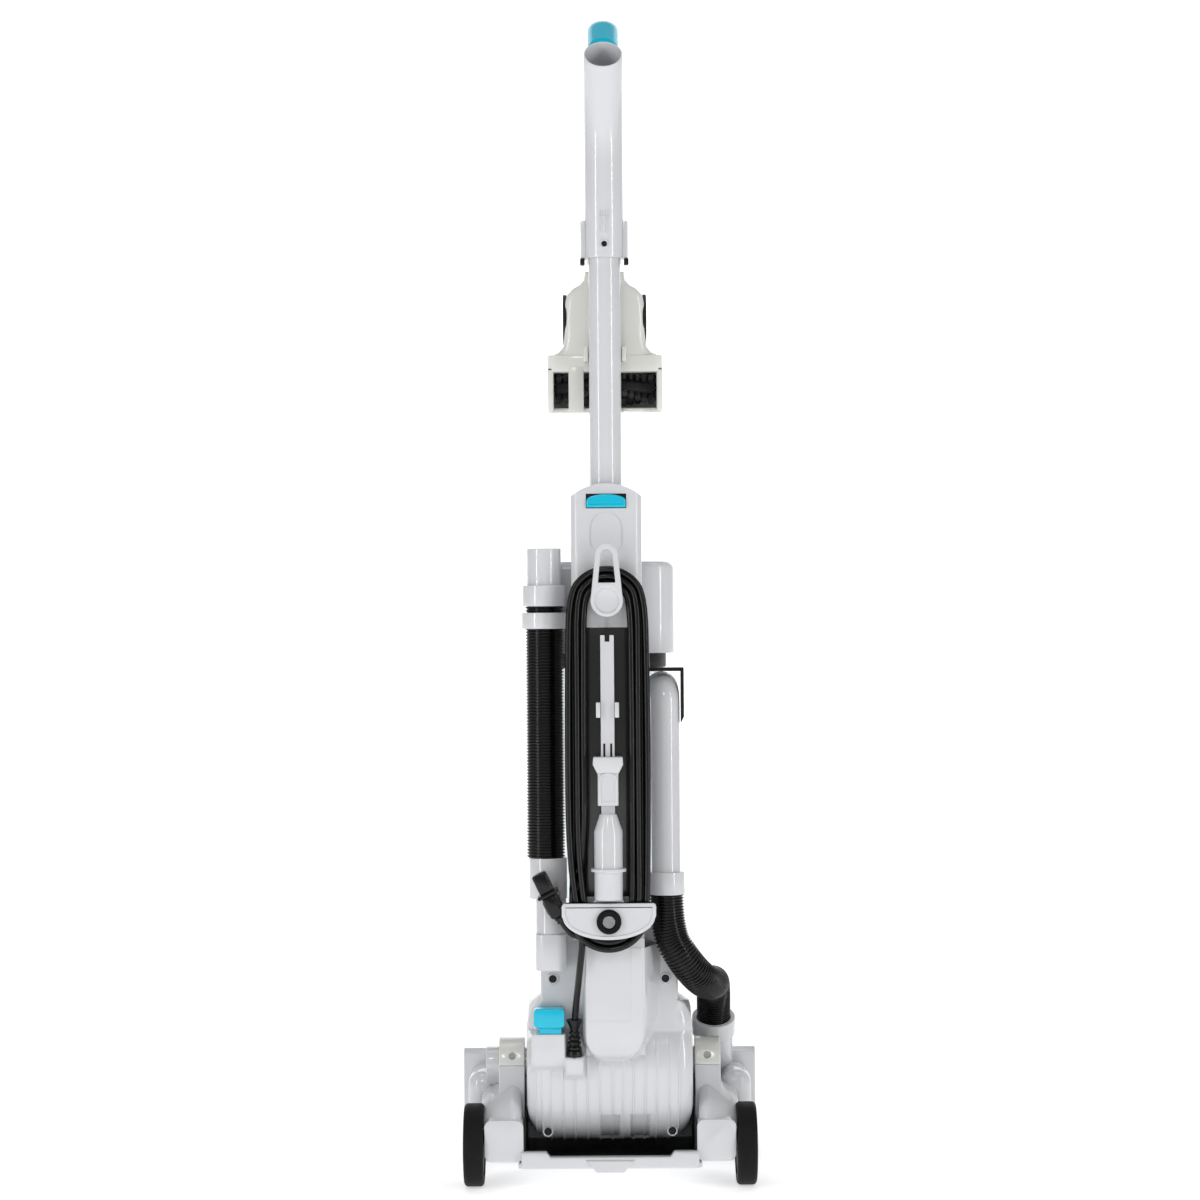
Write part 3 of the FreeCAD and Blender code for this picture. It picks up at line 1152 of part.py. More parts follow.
def build():
    """Make and write every node."""
    os.makedirs("parts", exist_ok=True)
    export("foot_housing", foot_housing())
    export("base_frame", base_frame())
    export("sole_plate", sole_plate())
    export("foot_bumper", foot_bumper())
    export("trunnion_caps", *both_sides(trunnion_cap()))
    export("foot_fasteners", *both_sides(trunnion_screw()), *both_sides(wheel_axle()))
    export("front_wheel_brackets", *both_sides(front_bracket()))
    export("hose_elbow", hose_elbow())
    export("brush_bearings", *both_sides(brush_bearing()))
    export("drive_belt", drive_belt())
    for side, sign in (("left", -1), ("right", 1)):
        export("rear_tyre_" + side, rear_tyre(sign * REAR_WHEEL_X))
        export("rear_hub_" + side, rear_hub(sign * REAR_WHEEL_X))
        export("front_wheel_" + side, front_wheel(sign * FRONT_WHEEL_X))
    export("brush_roll", brush_roll())
    export("brush_bristles", *bristle_rows())
    export("motor_rotor", motor_rotor())
    export("motor_housing", motor_housing())
    export("motor_front_cover", motor_front_cover())
    export("motor_casing", motor_casing())
    export("motor_mounts", *motor_mounts())
    export("exhaust_filter", exhaust_filter())
    export("power_switch", power_switch())
    export("spine_shell", spine_shell())
    export("spine_panel", spine_panel())
    export("tool_clips", *tool_clips())
    export("release_button", release_button())
    export("lower_cord_bracket", lower_bracket())
    export("bracket_bumper", bracket_bumper())
    export("body_screws", *body_screws())
    export("cord_hook", cord_hook())
    export("cord_hank", cord_hank())
    export("cord_lead", *lead_tube())
    export("cord_strain_relief", strain_relief())
    export("cord_plug", cord_plug())
    export("crevice_tool", crevice_tool())
    export("dusting_brush", dusting_brush())
    export("hose_clip", hose_clip())
    export("stretch_hose", stretch_hose())
    export("hose_nozzle", hose_nozzle())
    export("hose_lower_cuff", hose_lower_cuff())
    export("hose_pipe", hose_pipe())
    export("duct_pipe", duct_pipe())
    export("duct_bracket", duct_bracket())
    export("foot_hose", foot_hose())
    export("tank_cup", tank_cup())
    export("tank_collar", tank_collar())
    export("tank_lid", tank_lid())
    export("tank_latch", tank_latch())
    export("tank_shroud", tank_shroud())
    export("tank_filter", tank_filter())
    export("wand_tube", wand_tube())
    export("handle_tube", handle_tube())
    export("handle_grip", handle_grip())
    export("tool_holder", tool_holder())
    export("turbo_housing", turbo_housing())
    export("turbo_covers", *turbo_covers())
    export("turbo_brush", turbo_brush())


build()
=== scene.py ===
import json
import math

import bmesh
import bpy
from bpy.props import FloatProperty, FloatVectorProperty, IntProperty, PointerProperty
from mathutils import Matrix, Vector


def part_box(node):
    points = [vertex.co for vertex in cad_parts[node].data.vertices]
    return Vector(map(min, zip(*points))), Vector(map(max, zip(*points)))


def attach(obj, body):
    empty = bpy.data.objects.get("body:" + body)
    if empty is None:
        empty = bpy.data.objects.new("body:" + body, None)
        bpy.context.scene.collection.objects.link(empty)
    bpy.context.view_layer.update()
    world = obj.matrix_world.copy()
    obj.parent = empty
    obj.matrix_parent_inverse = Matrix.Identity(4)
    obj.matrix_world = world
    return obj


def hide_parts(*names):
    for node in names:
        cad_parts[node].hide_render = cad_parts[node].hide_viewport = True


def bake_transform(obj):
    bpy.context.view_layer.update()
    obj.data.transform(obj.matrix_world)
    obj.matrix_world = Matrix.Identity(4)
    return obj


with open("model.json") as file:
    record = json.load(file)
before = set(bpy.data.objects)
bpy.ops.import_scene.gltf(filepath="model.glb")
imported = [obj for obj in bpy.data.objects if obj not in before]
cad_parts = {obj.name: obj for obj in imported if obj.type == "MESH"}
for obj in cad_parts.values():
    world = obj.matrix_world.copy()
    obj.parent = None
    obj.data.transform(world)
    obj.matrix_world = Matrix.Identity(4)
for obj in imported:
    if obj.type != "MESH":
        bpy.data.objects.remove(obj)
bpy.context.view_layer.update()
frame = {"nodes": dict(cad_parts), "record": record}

bl_info = {
    "name": "Upright Vacuum Cleaner Looks",
    "version": (1, 0, 0),
    "blender": (4, 5, 0),
    "location": "View3D > Sidebar > Vacuum",
    "description": "Dresses the packed upright vacuum cleaner with hoses, cord, moulded shells and finishes",
    "category": "Object",
}

MM = 0.001
UP = Vector((0, 0, 1))
BACK = Vector((0, -1, 0))
BLADE_REAR = -0.0796

# ---- camera ----
CAMERA_PLACE = (-0.0062, -2.8, 0.5555)
CAMERA_LENS = 88.44
CAMERA_ROLL = 0.4

# ---- foot hose ----
FOOT_HOSE_R = 0.0164
ELBOW_AXIS = Vector((0, -0.417, 0.909)).normalized()
ELBOW_MOUTH = Vector((0.102, 0.084, 0.148))
FOOT_ROUTE = [
    Vector((0.054, -0.040, 0.289)), Vector((0.054, -0.040, 0.246)), Vector((0.070, -0.042, 0.218)),
    Vector((0.086, -0.024, 0.198)), Vector((0.097, 0.020, 0.188)), ELBOW_MOUTH + ELBOW_AXIS * 0.040,
    ELBOW_MOUTH - ELBOW_AXIS * 0.011,
]

# ---- motor housing ----
PIVOT = Vector((0, 0.040, 0.111))
SKIN_R = 0.0729
SKIN_FLAT_Y = -0.0229
SKIN_TOP_Z = 0.232
RIBS = (-0.070, -0.064, -0.056, -0.044, -0.033, -0.021, -0.0095,
        0.0025, 0.012, 0.022, 0.033, 0.044, 0.056, 0.065)
SCREW_HOLES = ((-0.053, 0.199), (0.053, 0.199), (-0.059, 0.052), (0.059, 0.052))
SLOT_OF = {part["node"]: part["material_slot"] for part in frame["record"]["subparts"]}


# ---- sizes and colours a user may change ----
def colour(name, description, default):
    """A colour field kept as linear values."""
    return FloatVectorProperty(name=name, description=description, subtype="COLOR", size=3, min=0, max=1,
                               default=linear(default))


def length(name, description, default_mm):
    """A length field in metres."""
    return FloatProperty(name=name, description=description, default=default_mm * MM, min=0, unit="LENGTH",
                         precision=5)


def linear(code):
    """sRGB hex to linear red, green and blue."""
    values = [int(code[i:i + 2], 16) / 255 for i in (1, 3, 5)]
    return tuple(v / 12.92 if v <= 0.04045 else ((v + 0.055) / 1.055) ** 2.4 for v in values)


class VacuumColours(bpy.types.PropertyGroup):
    white: colour("White ABS", "Cool white of the body mouldings", "#D6D7DA")
    warm_white: colour("Warm white ABS", "Slightly warmer white of the turbo tool", "#E0E0DB")
    teal: colour("Teal ABS", "Accent of the grip, button and switch", "#00BEDC")
    hose: colour("Hose black", "Corrugated hose wall", "#070706")
    cord: colour("Cord black", "Mains cord sheath", "#050505")


class VacuumSizes(bpy.types.PropertyGroup):
    cord_d: length("Cord diameter", "Outer diameter of the mains cord", 6.2)
    hose_pitch: length("Hose pitch", "Distance from one corrugation to the next", 2.85)
    hose_depth: length("Hose rib depth", "Height of one corrugation", 1.6)
    tread_depth: length("Tread depth", "Depth of the grooves in the rear tyres", 0.8)
    cord_turns: IntProperty(name="Cord turns", description="Turns of cord on the two hooks", default=8, min=1)


# ---- node materials ----
def add(tree, kind, settings=None, sockets=None, links=None):
    """Add one node, set its settings and socket values, and link other outputs to its sockets."""
    node = tree.nodes.new(kind)
    for key, value in (settings or {}).items():
        setattr(node, key, value)
    for key, value in (sockets or {}).items():
        node.inputs[key].default_value = value
    for key, output in (links or {}).items():
        tree.links.new(output, node.inputs[key])
    return node


def new_material(name, values):
    """A material with a Principled shader, its own values set on the shader's sockets."""
    material = bpy.data.materials.new(name)
    material.use_nodes = True
    shader = material.node_tree.nodes["Principled BSDF"]
    for key, value in values.items():
        shader.inputs[key].default_value = value
    return material, material.node_tree, shader


def place(tree):
    """Object coordinates, in metres."""
    return add(tree, "ShaderNodeTexCoord").outputs["Object"]


def grain(tree, size_mm, detail=2.0, rough=0.5):
    """Noise whose grain has a real size."""
    settings = {"Scale": 1000 / size_mm, "Detail": detail, "Roughness": rough}
    return add(tree, "ShaderNodeTexNoise", sockets=settings,
               links={"Vector": place(tree)}).outputs["Fac"]


def ramp(tree, source, stops):
    """Colour ramp over a value: stops are (position, linear colour)."""
    node = add(tree, "ShaderNodeValToRGB", links={"Fac": source})
    elements = node.color_ramp.elements
    while len(elements) < len(stops):
        elements.new(0.5)
    for element, (position, rgb) in zip(elements, stops):
        element.position = position
        element.color = (*rgb, 1)
    return node.outputs["Color"]


def spread(tree, source, low, high):
    """Bring a 0 to 1 value into a range."""
    return add(tree, "ShaderNodeMapRange", sockets={"To Min": low, "To Max": high},
               links={"Value": source}).outputs["Result"]


def relief(tree, shader, source, height_mm, strength=1.0):
    """Bump of a real height on the shader's normal."""
    node = add(tree, "ShaderNodeBump", sockets={"Distance": height_mm * MM, "Strength": strength},
               links={"Height": source})
    tree.links.new(node.outputs["Normal"], shader.inputs["Normal"])


def shade(rgb, factor):
    """A colour made darker or lighter."""
    return tuple(min(1.0, c * factor) for c in rgb)


def gloss_abs(name, rgb, rough=0.13, depth=0.004):
    """Injection-moulded ABS polished from the tool: bright soft-edged highlights over a faint flow ripple."""
    material, tree, shader = new_material(name, {"IOR": 1.54, "Specular IOR Level": 0.5, "Coat Weight": 0.15,
                                                 "Coat Roughness": 0.08})
    clouds = grain(tree, 45, 1)
    tree.links.new(ramp(tree, clouds, [(0.3, shade(rgb, 0.965)), (0.7, rgb)]), shader.inputs["Base Color"])
    tree.links.new(spread(tree, grain(tree, 4, 3), rough - 0.04, rough + 0.06), shader.inputs["Roughness"])
    relief(tree, shader, grain(tree, 2.2, 2), depth)
    return material


def satin_plastic(name, rgb, rough=0.45, size_mm=0.9, depth=0.02):
    """Spark-eroded polypropylene: a fine even texture that scatters the highlights."""
    material, tree, shader = new_material(name, {"IOR": 1.49, "Specular IOR Level": 0.35})
    tree.links.new(ramp(tree, grain(tree, 18, 2), [(0.3, shade(rgb, 0.8)), (0.75, shade(rgb, 1.15))]),
                   shader.inputs["Base Color"])
    tree.links.new(spread(tree, grain(tree, 3, 3), rough - 0.06, rough + 0.08), shader.inputs["Roughness"])
    relief(tree, shader, grain(tree, size_mm, 3), depth)
    return material


def hose_wall(name, rgb):
    """Blow-moulded EVA hose: rubbery black with a soft sheen on the crests, mottled darker and paler at
    random.
    """
    material, tree, shader = new_material(name, {"IOR": 1.5, "Specular IOR Level": 0.3})
    tree.links.new(ramp(tree, grain(tree, 9, 3), [(0.3, shade(rgb, 0.7)), (0.7, shade(rgb, 1.25))]),
                   shader.inputs["Base Color"])
    tree.links.new(spread(tree, grain(tree, 2, 2), 0.16, 0.26), shader.inputs["Roughness"])
    relief(tree, shader, grain(tree, 0.8, 2), 0.012)
    return material


def cord_sheath(name, rgb):
    """Extruded PVC sheath: smooth and slightly glossy with a faint orange peel."""
    material, tree, shader = new_material(name, {"IOR": 1.53, "Specular IOR Level": 0.36})
    tree.links.new(ramp(tree, grain(tree, 30, 2), [(0.35, shade(rgb, 0.75)), (0.7, shade(rgb, 1.3))]),
                   shader.inputs["Base Color"])
    tree.links.new(spread(tree, grain(tree, 3, 3), 0.16, 0.28), shader.inputs["Roughness"])
    relief(tree, shader, grain(tree, 1.4, 2), 0.015)
    return material


def tyre_rubber(name, rgb):
    """Soft injection-moulded tread: dull, with a grainy skin and paler scuffs."""
    material, tree, shader = new_material(name, {"IOR": 1.5, "Specular IOR Level": 0.2})
    tree.links.new(ramp(tree, grain(tree, 7, 5, 0.65), [(0.35, shade(rgb, 0.75)), (0.62, rgb),
                                                       (0.8, shade(rgb, 1.7))]), shader.inputs["Base Color"])
    tree.links.new(spread(tree, grain(tree, 5, 3), 0.5, 0.7), shader.inputs["Roughness"])
    relief(tree, shader, grain(tree, 0.7, 3), 0.06)
    return material


def plated_steel(name, rgb):
    """Zinc-plated steel: bright metal with fine turning marks."""
    material, tree, shader = new_material(name, {"Metallic": 1.0})
    tree.links.new(ramp(tree, grain(tree, 2, 3), [(0.3, shade(rgb, 0.7)), (0.7, rgb)]),
                   shader.inputs["Base Color"])
    tree.links.new(spread(tree, grain(tree, 0.8, 2), 0.28, 0.42), shader.inputs["Roughness"])
    relief(tree, shader, grain(tree, 0.5, 2), 0.01)
    return material


def clear_cup(name, rgb):
    """Clear polycarbonate: a faint cool tint with hairline scuffs that break up the reflections."""
    material, tree, shader = new_material(name, {"IOR": 1.45, "Transmission Weight": 0.92, "Alpha": 1.0})
    tree.links.new(ramp(tree, grain(tree, 60, 1), [(0.3, shade(rgb, 0.97)), (0.7, rgb)]),
                   shader.inputs["Base Color"])
    tree.links.new(spread(tree, grain(tree, 6, 4), 0.03, 0.1), shader.inputs["Roughness"])
    relief(tree, shader, grain(tree, 12, 2), 0.01)
    return material


def open_foam(name, rgb):
    """Open-cell filter foam: dull, with painted shade in a small round pore at every cell."""
    material, tree, shader = new_material(name, {"Roughness": 0.95})
    cells = add(tree, "ShaderNodeTexVoronoi", sockets={"Scale": 1000 / 1.6}, links={"Vector": place(tree)})
    # Painted shade: the colour darkens towards each cell's centre, where the same pattern sinks the bump.
    tree.links.new(ramp(tree, cells.outputs["Distance"], [(0.1, shade(rgb, 0.4)), (0.6, rgb)]),
                   shader.inputs["Base Color"])
    relief(tree, shader, cells.outputs["Distance"], 0.4)
    return material


def pleated_paper(name, rgb):
    """Pleated filter paper: matt folds that run up the cartridge, with painted shade in every fold's valley.
    """
    material, tree, shader = new_material(name, {"Roughness": 0.85})
    folds = add(tree, "ShaderNodeTexWave", {"bands_direction": "X"},
                {"Scale": 1000 / (2 * math.pi * 3.2) * 2}, {"Vector": place(tree)})
    # Painted shade: the colour darkens where the same wave sinks the bump, in the fold valleys.
    tree.links.new(ramp(tree, folds.outputs["Fac"], [(0.1, shade(rgb, 0.6)), (0.8, rgb)]),
                   shader.inputs["Base Color"])
    relief(tree, shader, folds.outputs["Fac"], 0.8)
    return material


def nylon_bristle(name, rgb):
    """Nylon filament: near-black with streaks along the tufts and a dry sheen; the streaks are painted shade
    in the bump's hollows and painted light on its ridges.
    """
    material, tree, shader = new_material(name, {"Sheen Weight": 0.15, "Sheen Roughness": 0.4, "IOR": 1.53})
    streaks = grain(tree, 0.9, 4, 0.7)
    # Painted shade and light: the same noise darkens the bump's hollows and lightens its ridges.
    tree.links.new(ramp(tree, streaks, [(0.35, shade(rgb, 0.5)), (0.7, shade(rgb, 2.2))]),
                   shader.inputs["Base Color"])
    tree.links.new(spread(tree, streaks, 0.4, 0.65), shader.inputs["Roughness"])
    relief(tree, shader, streaks, 0.25)
    return material


def finishes(scene):
    """Every material, by the record's slot name."""
    tint = scene.vacuum_colours
    return {
        "white_abs": gloss_abs("White gloss ABS, tool polished", tuple(tint.white)),
        "warm_white_abs": gloss_abs("Warm white gloss ABS", tuple(tint.warm_white)),
        "teal_abs": gloss_abs("Teal gloss ABS", tuple(tint.teal), 0.16),
        "hose_black": hose_wall("EVA hose, blow moulded", tuple(tint.hose)),
        "cord_black": cord_sheath("PVC cord sheath, extruded", tuple(tint.cord)),
        "black_plastic": satin_plastic("Black polypropylene, spark eroded", linear("#0A0A0A")),
        "spine_grey": gloss_abs("Dark grey gloss ABS", linear("#2A2A29"), 0.18),
        "tyre_black": tyre_rubber("Tyre rubber, moulded", linear("#0D0D0D")),
        "hub_grey": satin_plastic("Grey nylon hub, moulded", linear("#3A3A3A"), 0.5),
        "rubber_black": tyre_rubber("Rubber, moulded", linear("#0A0A0B")),
        "steel": plated_steel("Zinc-plated steel", linear("#A4A6A8")),
        "clear_cup": clear_cup("Clear polycarbonate", linear("#F2F5F6")),
        "foam": open_foam("Open-cell foam", linear("#3C4A55")),
        "filter_pleat": pleated_paper("Pleated filter paper", linear("#D8D8D0")),
        "bristle": nylon_bristle("Nylon bristle", linear("#17181A")),
    }


FINISH = {}


def finish_of(slot_name):
    """The material of a record slot, made once."""
    if not FINISH:
        FINISH.update(finishes(bpy.context.scene))
    return FINISH[slot_name]


# ---- mesh helpers ----
def keep(name, bm, slot_name, body, nodes=(), smooth_deg=35.0):
    """Turn a bmesh into a finished piece that rides on its body."""
    bmesh.ops.remove_doubles(bm, verts=bm.verts, dist=1e-6)
    bmesh.ops.recalc_face_normals(bm, faces=bm.faces)
    if not bm.faces:
        raise RuntimeError(name + " has no faces")
    mesh = bpy.data.meshes.new(name)
    bm.to_mesh(mesh)
    bm.free()
    mesh.shade_smooth()
    mesh.set_sharp_from_angle(angle=math.radians(smooth_deg))
    piece = bpy.data.objects.new(name, mesh)
    bpy.context.scene.collection.objects.link(piece)
    mesh.materials.append(finish_of(slot_name))
    if nodes:
        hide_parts(*nodes)
    if body:
        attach(piece, body)
    return piece


def lathe(bm, profile, centre, axis, steps=48):
    """Spin an outline of (radius, height) round an axis, closing any pole."""
    turn = axis.normalized().to_track_quat("Z", "Y").to_matrix().to_4x4()
    matrix = Matrix.Translation(centre) @ turn
    verts = [bm.verts.new(matrix @ Vector((max(r, 0), 0, h))) for r, h in profile]
    edges = [bm.edges.new((a, b)) for a, b in zip(verts, verts[1:])]
    bmesh.ops.spin(bm, geom=verts + edges, cent=centre, axis=axis.normalized(), angle=2 * math.pi,
                   steps=steps, use_merge=True, use_duplicate=False)
    return bm


def round_edges(bm, edges, offset, segments=3, clamp=False):
    """Bevel edges to a round of this size."""
    bmesh.ops.bevel(bm, geom=edges, offset=offset, offset_type="OFFSET", segments=segments, profile=0.5,
                    affect="EDGES", material=-1, clamp_overlap=clamp)


def brick(bm, low, high, rounding=0.0, segments=2):
    """A box between two corners with every edge rounded."""
    made = bmesh.ops.create_cube(bm, size=1)["verts"]
    size = Vector(high) - Vector(low)
    bmesh.ops.scale(bm, vec=size, verts=made)
    bmesh.ops.translate(bm, vec=Vector(low) + size / 2, verts=made)
    if rounding:
        edges = list({edge for vert in made for edge in vert.link_edges})
        round_edges(bm, edges, rounding, segments, clamp=True)
    return made


def curve_points(name, route, resolution=12):
    """Points along a smooth curve through a route's control points."""
    guide = bpy.data.curves.new(name, "CURVE")
    guide.dimensions = "3D"
    guide.resolution_u = resolution
    nurbs(guide, route)
    holder = bpy.data.objects.new(name, guide)
    bpy.context.scene.collection.objects.link(holder)
    mesh = bpy.data.meshes.new_from_object(holder)
    points = [vert.co.copy() for vert in mesh.vertices]
    bpy.data.objects.remove(holder)
    bpy.data.curves.remove(guide)
    bpy.data.meshes.remove(mesh)
    return points


def nurbs(curve, route):
    """Give a curve one open smooth spline with these control points."""
    spline = curve.splines.new("NURBS")
    spline.points.add(len(route) - 1)
    for point, place_at in zip(spline.points, route):
        point.co = (*place_at, 1)
    spline.order_u = 3
    spline.use_endpoint_u = True
    return spline


def along_path(points):
    """Running lengths and steady cross frames along a list of points."""
    frames = []
    run = 0.0
    side = Vector((1, 0, 0))
    for index, point in enumerate(points):
        ahead = points[min(index + 1, len(points) - 1)]
        behind = points[max(index - 1, 0)]
        tangent = (ahead - behind).normalized()
        side = (side - tangent * side.dot(tangent)).normalized()
        if index:
            run += (point - points[index - 1]).length
        frames.append((run, point, tangent, side, tangent.cross(side)))
    return frames


def bend_along(bm, points):
    """Lay a straight upright mesh along a path: its height becomes the distance travelled."""
    frames = along_path(points)
    for vert in bm.verts:
        height = min(max(vert.co.z, 0.0), frames[-1][0])
        index = next((i for i, item in enumerate(frames) if item[0] >= height), len(frames) - 1)
        low = frames[max(index - 1, 0)]
        high = frames[index]
        share = (height - low[0]) / max(high[0] - low[0], 1e-9)
        centre = low[1].lerp(high[1], share)
        side = low[3].lerp(high[3], share).normalized()
        other = low[4].lerp(high[4], share).normalized()
        vert.co = centre + side * vert.co.x + other * vert.co.y


def path_length(points):
    """Length of a run of points."""
    return sum((b - a).length for a, b in zip(points, points[1:]))


def hose_profile(radius, depth, pitch, total):
    """Outline of a corrugated hose wall, from its foot to its top."""
    count = int(total / pitch)
    step = total / count
    outline = [(radius - depth, 0.0)]
    for index in range(count):
        base = index * step
        outline += [(radius - depth, base + 0.22 * step), (radius - 0.15 * depth, base + 0.36 * step),
                    (radius, base + 0.55 * step), (radius - 0.15 * depth, base + 0.74 * step),
                    (radius - depth, base + 0.88 * step)]
    outline.append((radius - depth, total))
    return outline


# ---- cord ----
LEAD_ROUTE = [
    (-0.033, -0.038, 0.128), (-0.033, -0.038, 0.152), (-0.0315, -0.045, 0.176), (-0.029, -0.057, 0.197),
    (-0.027, -0.068, 0.216), (-0.024, -0.0715, 0.240),
]
TAIL_ROUTE = [(-0.028, -0.071, 0.244), (-0.036, -0.0715, 0.247), (-0.043, -0.071, 0.257)]
PLUG_AXIS = Vector((-0.4375, 0, 0.899)).normalized()
HOOK_LOW = 0.2675
HOOK_HIGH = 0.549
STRANDS = [(25.0, -72.3), (21.7, -67.2), (28.5, -67.2), (35.2, -67.2),
           (21.7, -77.0), (28.5, -77.2), (35.2, -76.8), (31.5, -72.3)]


def turn_points(radius, depth, swell, sway):
    """One turn of cord, up the left side, over the top hook, down the right side and round the lower hook."""
    wide = radius * 1.045
    points = []
    span = HOOK_HIGH - HOOK_LOW
    for share in (0.2, 0.5, 0.8):
        bow = swell * math.sin(math.pi * share)
        points.append((-radius - bow, depth + sway * share, HOOK_LOW + span * share))
    for step in range(5):
        angle = math.pi - math.radians(18 + 36 * step)
        points.append((wide * math.cos(angle), depth, HOOK_HIGH + wide * math.sin(angle)))
    for share in (0.8, 0.5, 0.2):
        bow = swell * math.sin(math.pi * share)
        points.append((radius + bow, depth - sway * share, HOOK_LOW + span * share))
    for step in range(5):
        angle = -math.radians(18 + 36 * step)
        points.append((wide * math.cos(angle), depth, HOOK_LOW + wide * math.sin(angle)))
    return points


def cord_route(turns):
    """Every control point of the cord, from its strain relief to its plug."""
    route = list(LEAD_ROUTE)
    for index in range(turns):
        radius, depth = STRANDS[index % len(STRANDS)]
        swell = 0.6 + 1.1 * math.sin(index * 2.3)
        sway = 0.9 * math.sin(index * 1.7 + 0.5)
        route += turn_points(radius * MM, depth * MM, swell * MM, sway * MM)
    return route[:-1] + TAIL_ROUTE


# ---- operators ----
class VACUUM_OT_stage(bpy.types.Operator):
    """Camera, floor and soft studio light"""
    bl_idname = "vacuum.stage"
    bl_label = "Stage"

    def execute(self, context):
        scene = context.scene
        camera_data = bpy.data.cameras.new("Camera")
        camera_data.lens = CAMERA_LENS
        camera_data.sensor_width = 36
        camera = bpy.data.objects.new("Camera", camera_data)
        camera.location = CAMERA_PLACE
        camera.rotation_euler = (math.radians(90), math.radians(CAMERA_ROLL), 0)
        scene.collection.objects.link(camera)
        scene.camera = camera
        self.floor(scene)
        self.lights(scene)
        return {"FINISHED"}

    def floor(self, scene):
        """A pale sweep: floor, round corner and back wall in one sheet."""
        bm = bmesh.new()
        bmesh.ops.create_grid(bm, x_segments=1, y_segments=1, size=6)
        back = [edge for edge in bm.edges if all(vert.co.y > 5.9 for vert in edge.verts)]
        raised = bmesh.ops.extrude_edge_only(bm, edges=back)["geom"]
        bmesh.ops.translate(bm, vec=(0, 0, 6), verts=[g for g in raised if isinstance(g, bmesh.types.BMVert)])
        corner = [edge for edge in bm.edges
                  if all(abs(v.co.y - 6) < 0.01 and abs(v.co.z) < 0.01 for v in edge.verts)]
        round_edges(bm, corner, 2.5, 12)
        mesh = bpy.data.meshes.new("studio_sweep")
        bm.to_mesh(mesh)
        bm.free()
        mesh.shade_smooth()
        sweep = bpy.data.objects.new("studio_sweep", mesh)
        scene.collection.objects.link(sweep)
        paint = {"Roughness": 0.9, "Specular IOR Level": 0.1,
                 "Emission Color": (1, 1, 1, 1), "Emission Strength": 0.5}
        material, tree, shader = new_material("Pale studio paint", paint)
        tree.links.new(ramp(tree, grain(tree, 300, 1), [(0.3, linear("#F6F6F6")), (0.7, linear("#FAFAFA"))]),
                       shader.inputs["Base Color"])
        mesh.materials.append(material)

    def lights(self, scene):
        """Large soft sources behind the camera, above, at both sides and on the backdrop."""
        world = bpy.data.worlds.new("Studio")
        world.use_nodes = True
        world.node_tree.nodes["Background"].inputs["Color"].default_value = (1, 1, 1, 1)
        world.node_tree.nodes["Background"].inputs["Strength"].default_value = 0.33
        scene.world = world
        for name, place_at, target, size, power in (
                ("left_strip", (-2.0, -1.7, 1.0), (0, 0, 0.55), (0.22, 2.2), 17),
                ("right_strip", (2.0, -1.7, 1.0), (0, 0, 0.55), (0.22, 2.2), 17),
                ("front", (-0.5, -3.4, 2.6), (0, 0, 0.5), (0.8, 0.6), 14),
                ("top", (0, 0.2, 2.9), (0, 0, 0.5), (1.6, 1.2), 9),
                ("backdrop", (0, 2.4, 2.6), (0, 5.5, 0.8), (4.0, 2.0), 70)):
            data = bpy.data.lights.new(name, "AREA")
            data.shape = "RECTANGLE"
            data.size, data.size_y = size
            data.energy = power
            light = bpy.data.objects.new(name, data)
            light.location = place_at
            aim = Vector(target) - Vector(place_at)
            light.rotation_euler = aim.to_track_quat("-Z", "Y").to_euler()
            scene.collection.objects.link(light)
        scene.view_settings.view_transform = "Standard"


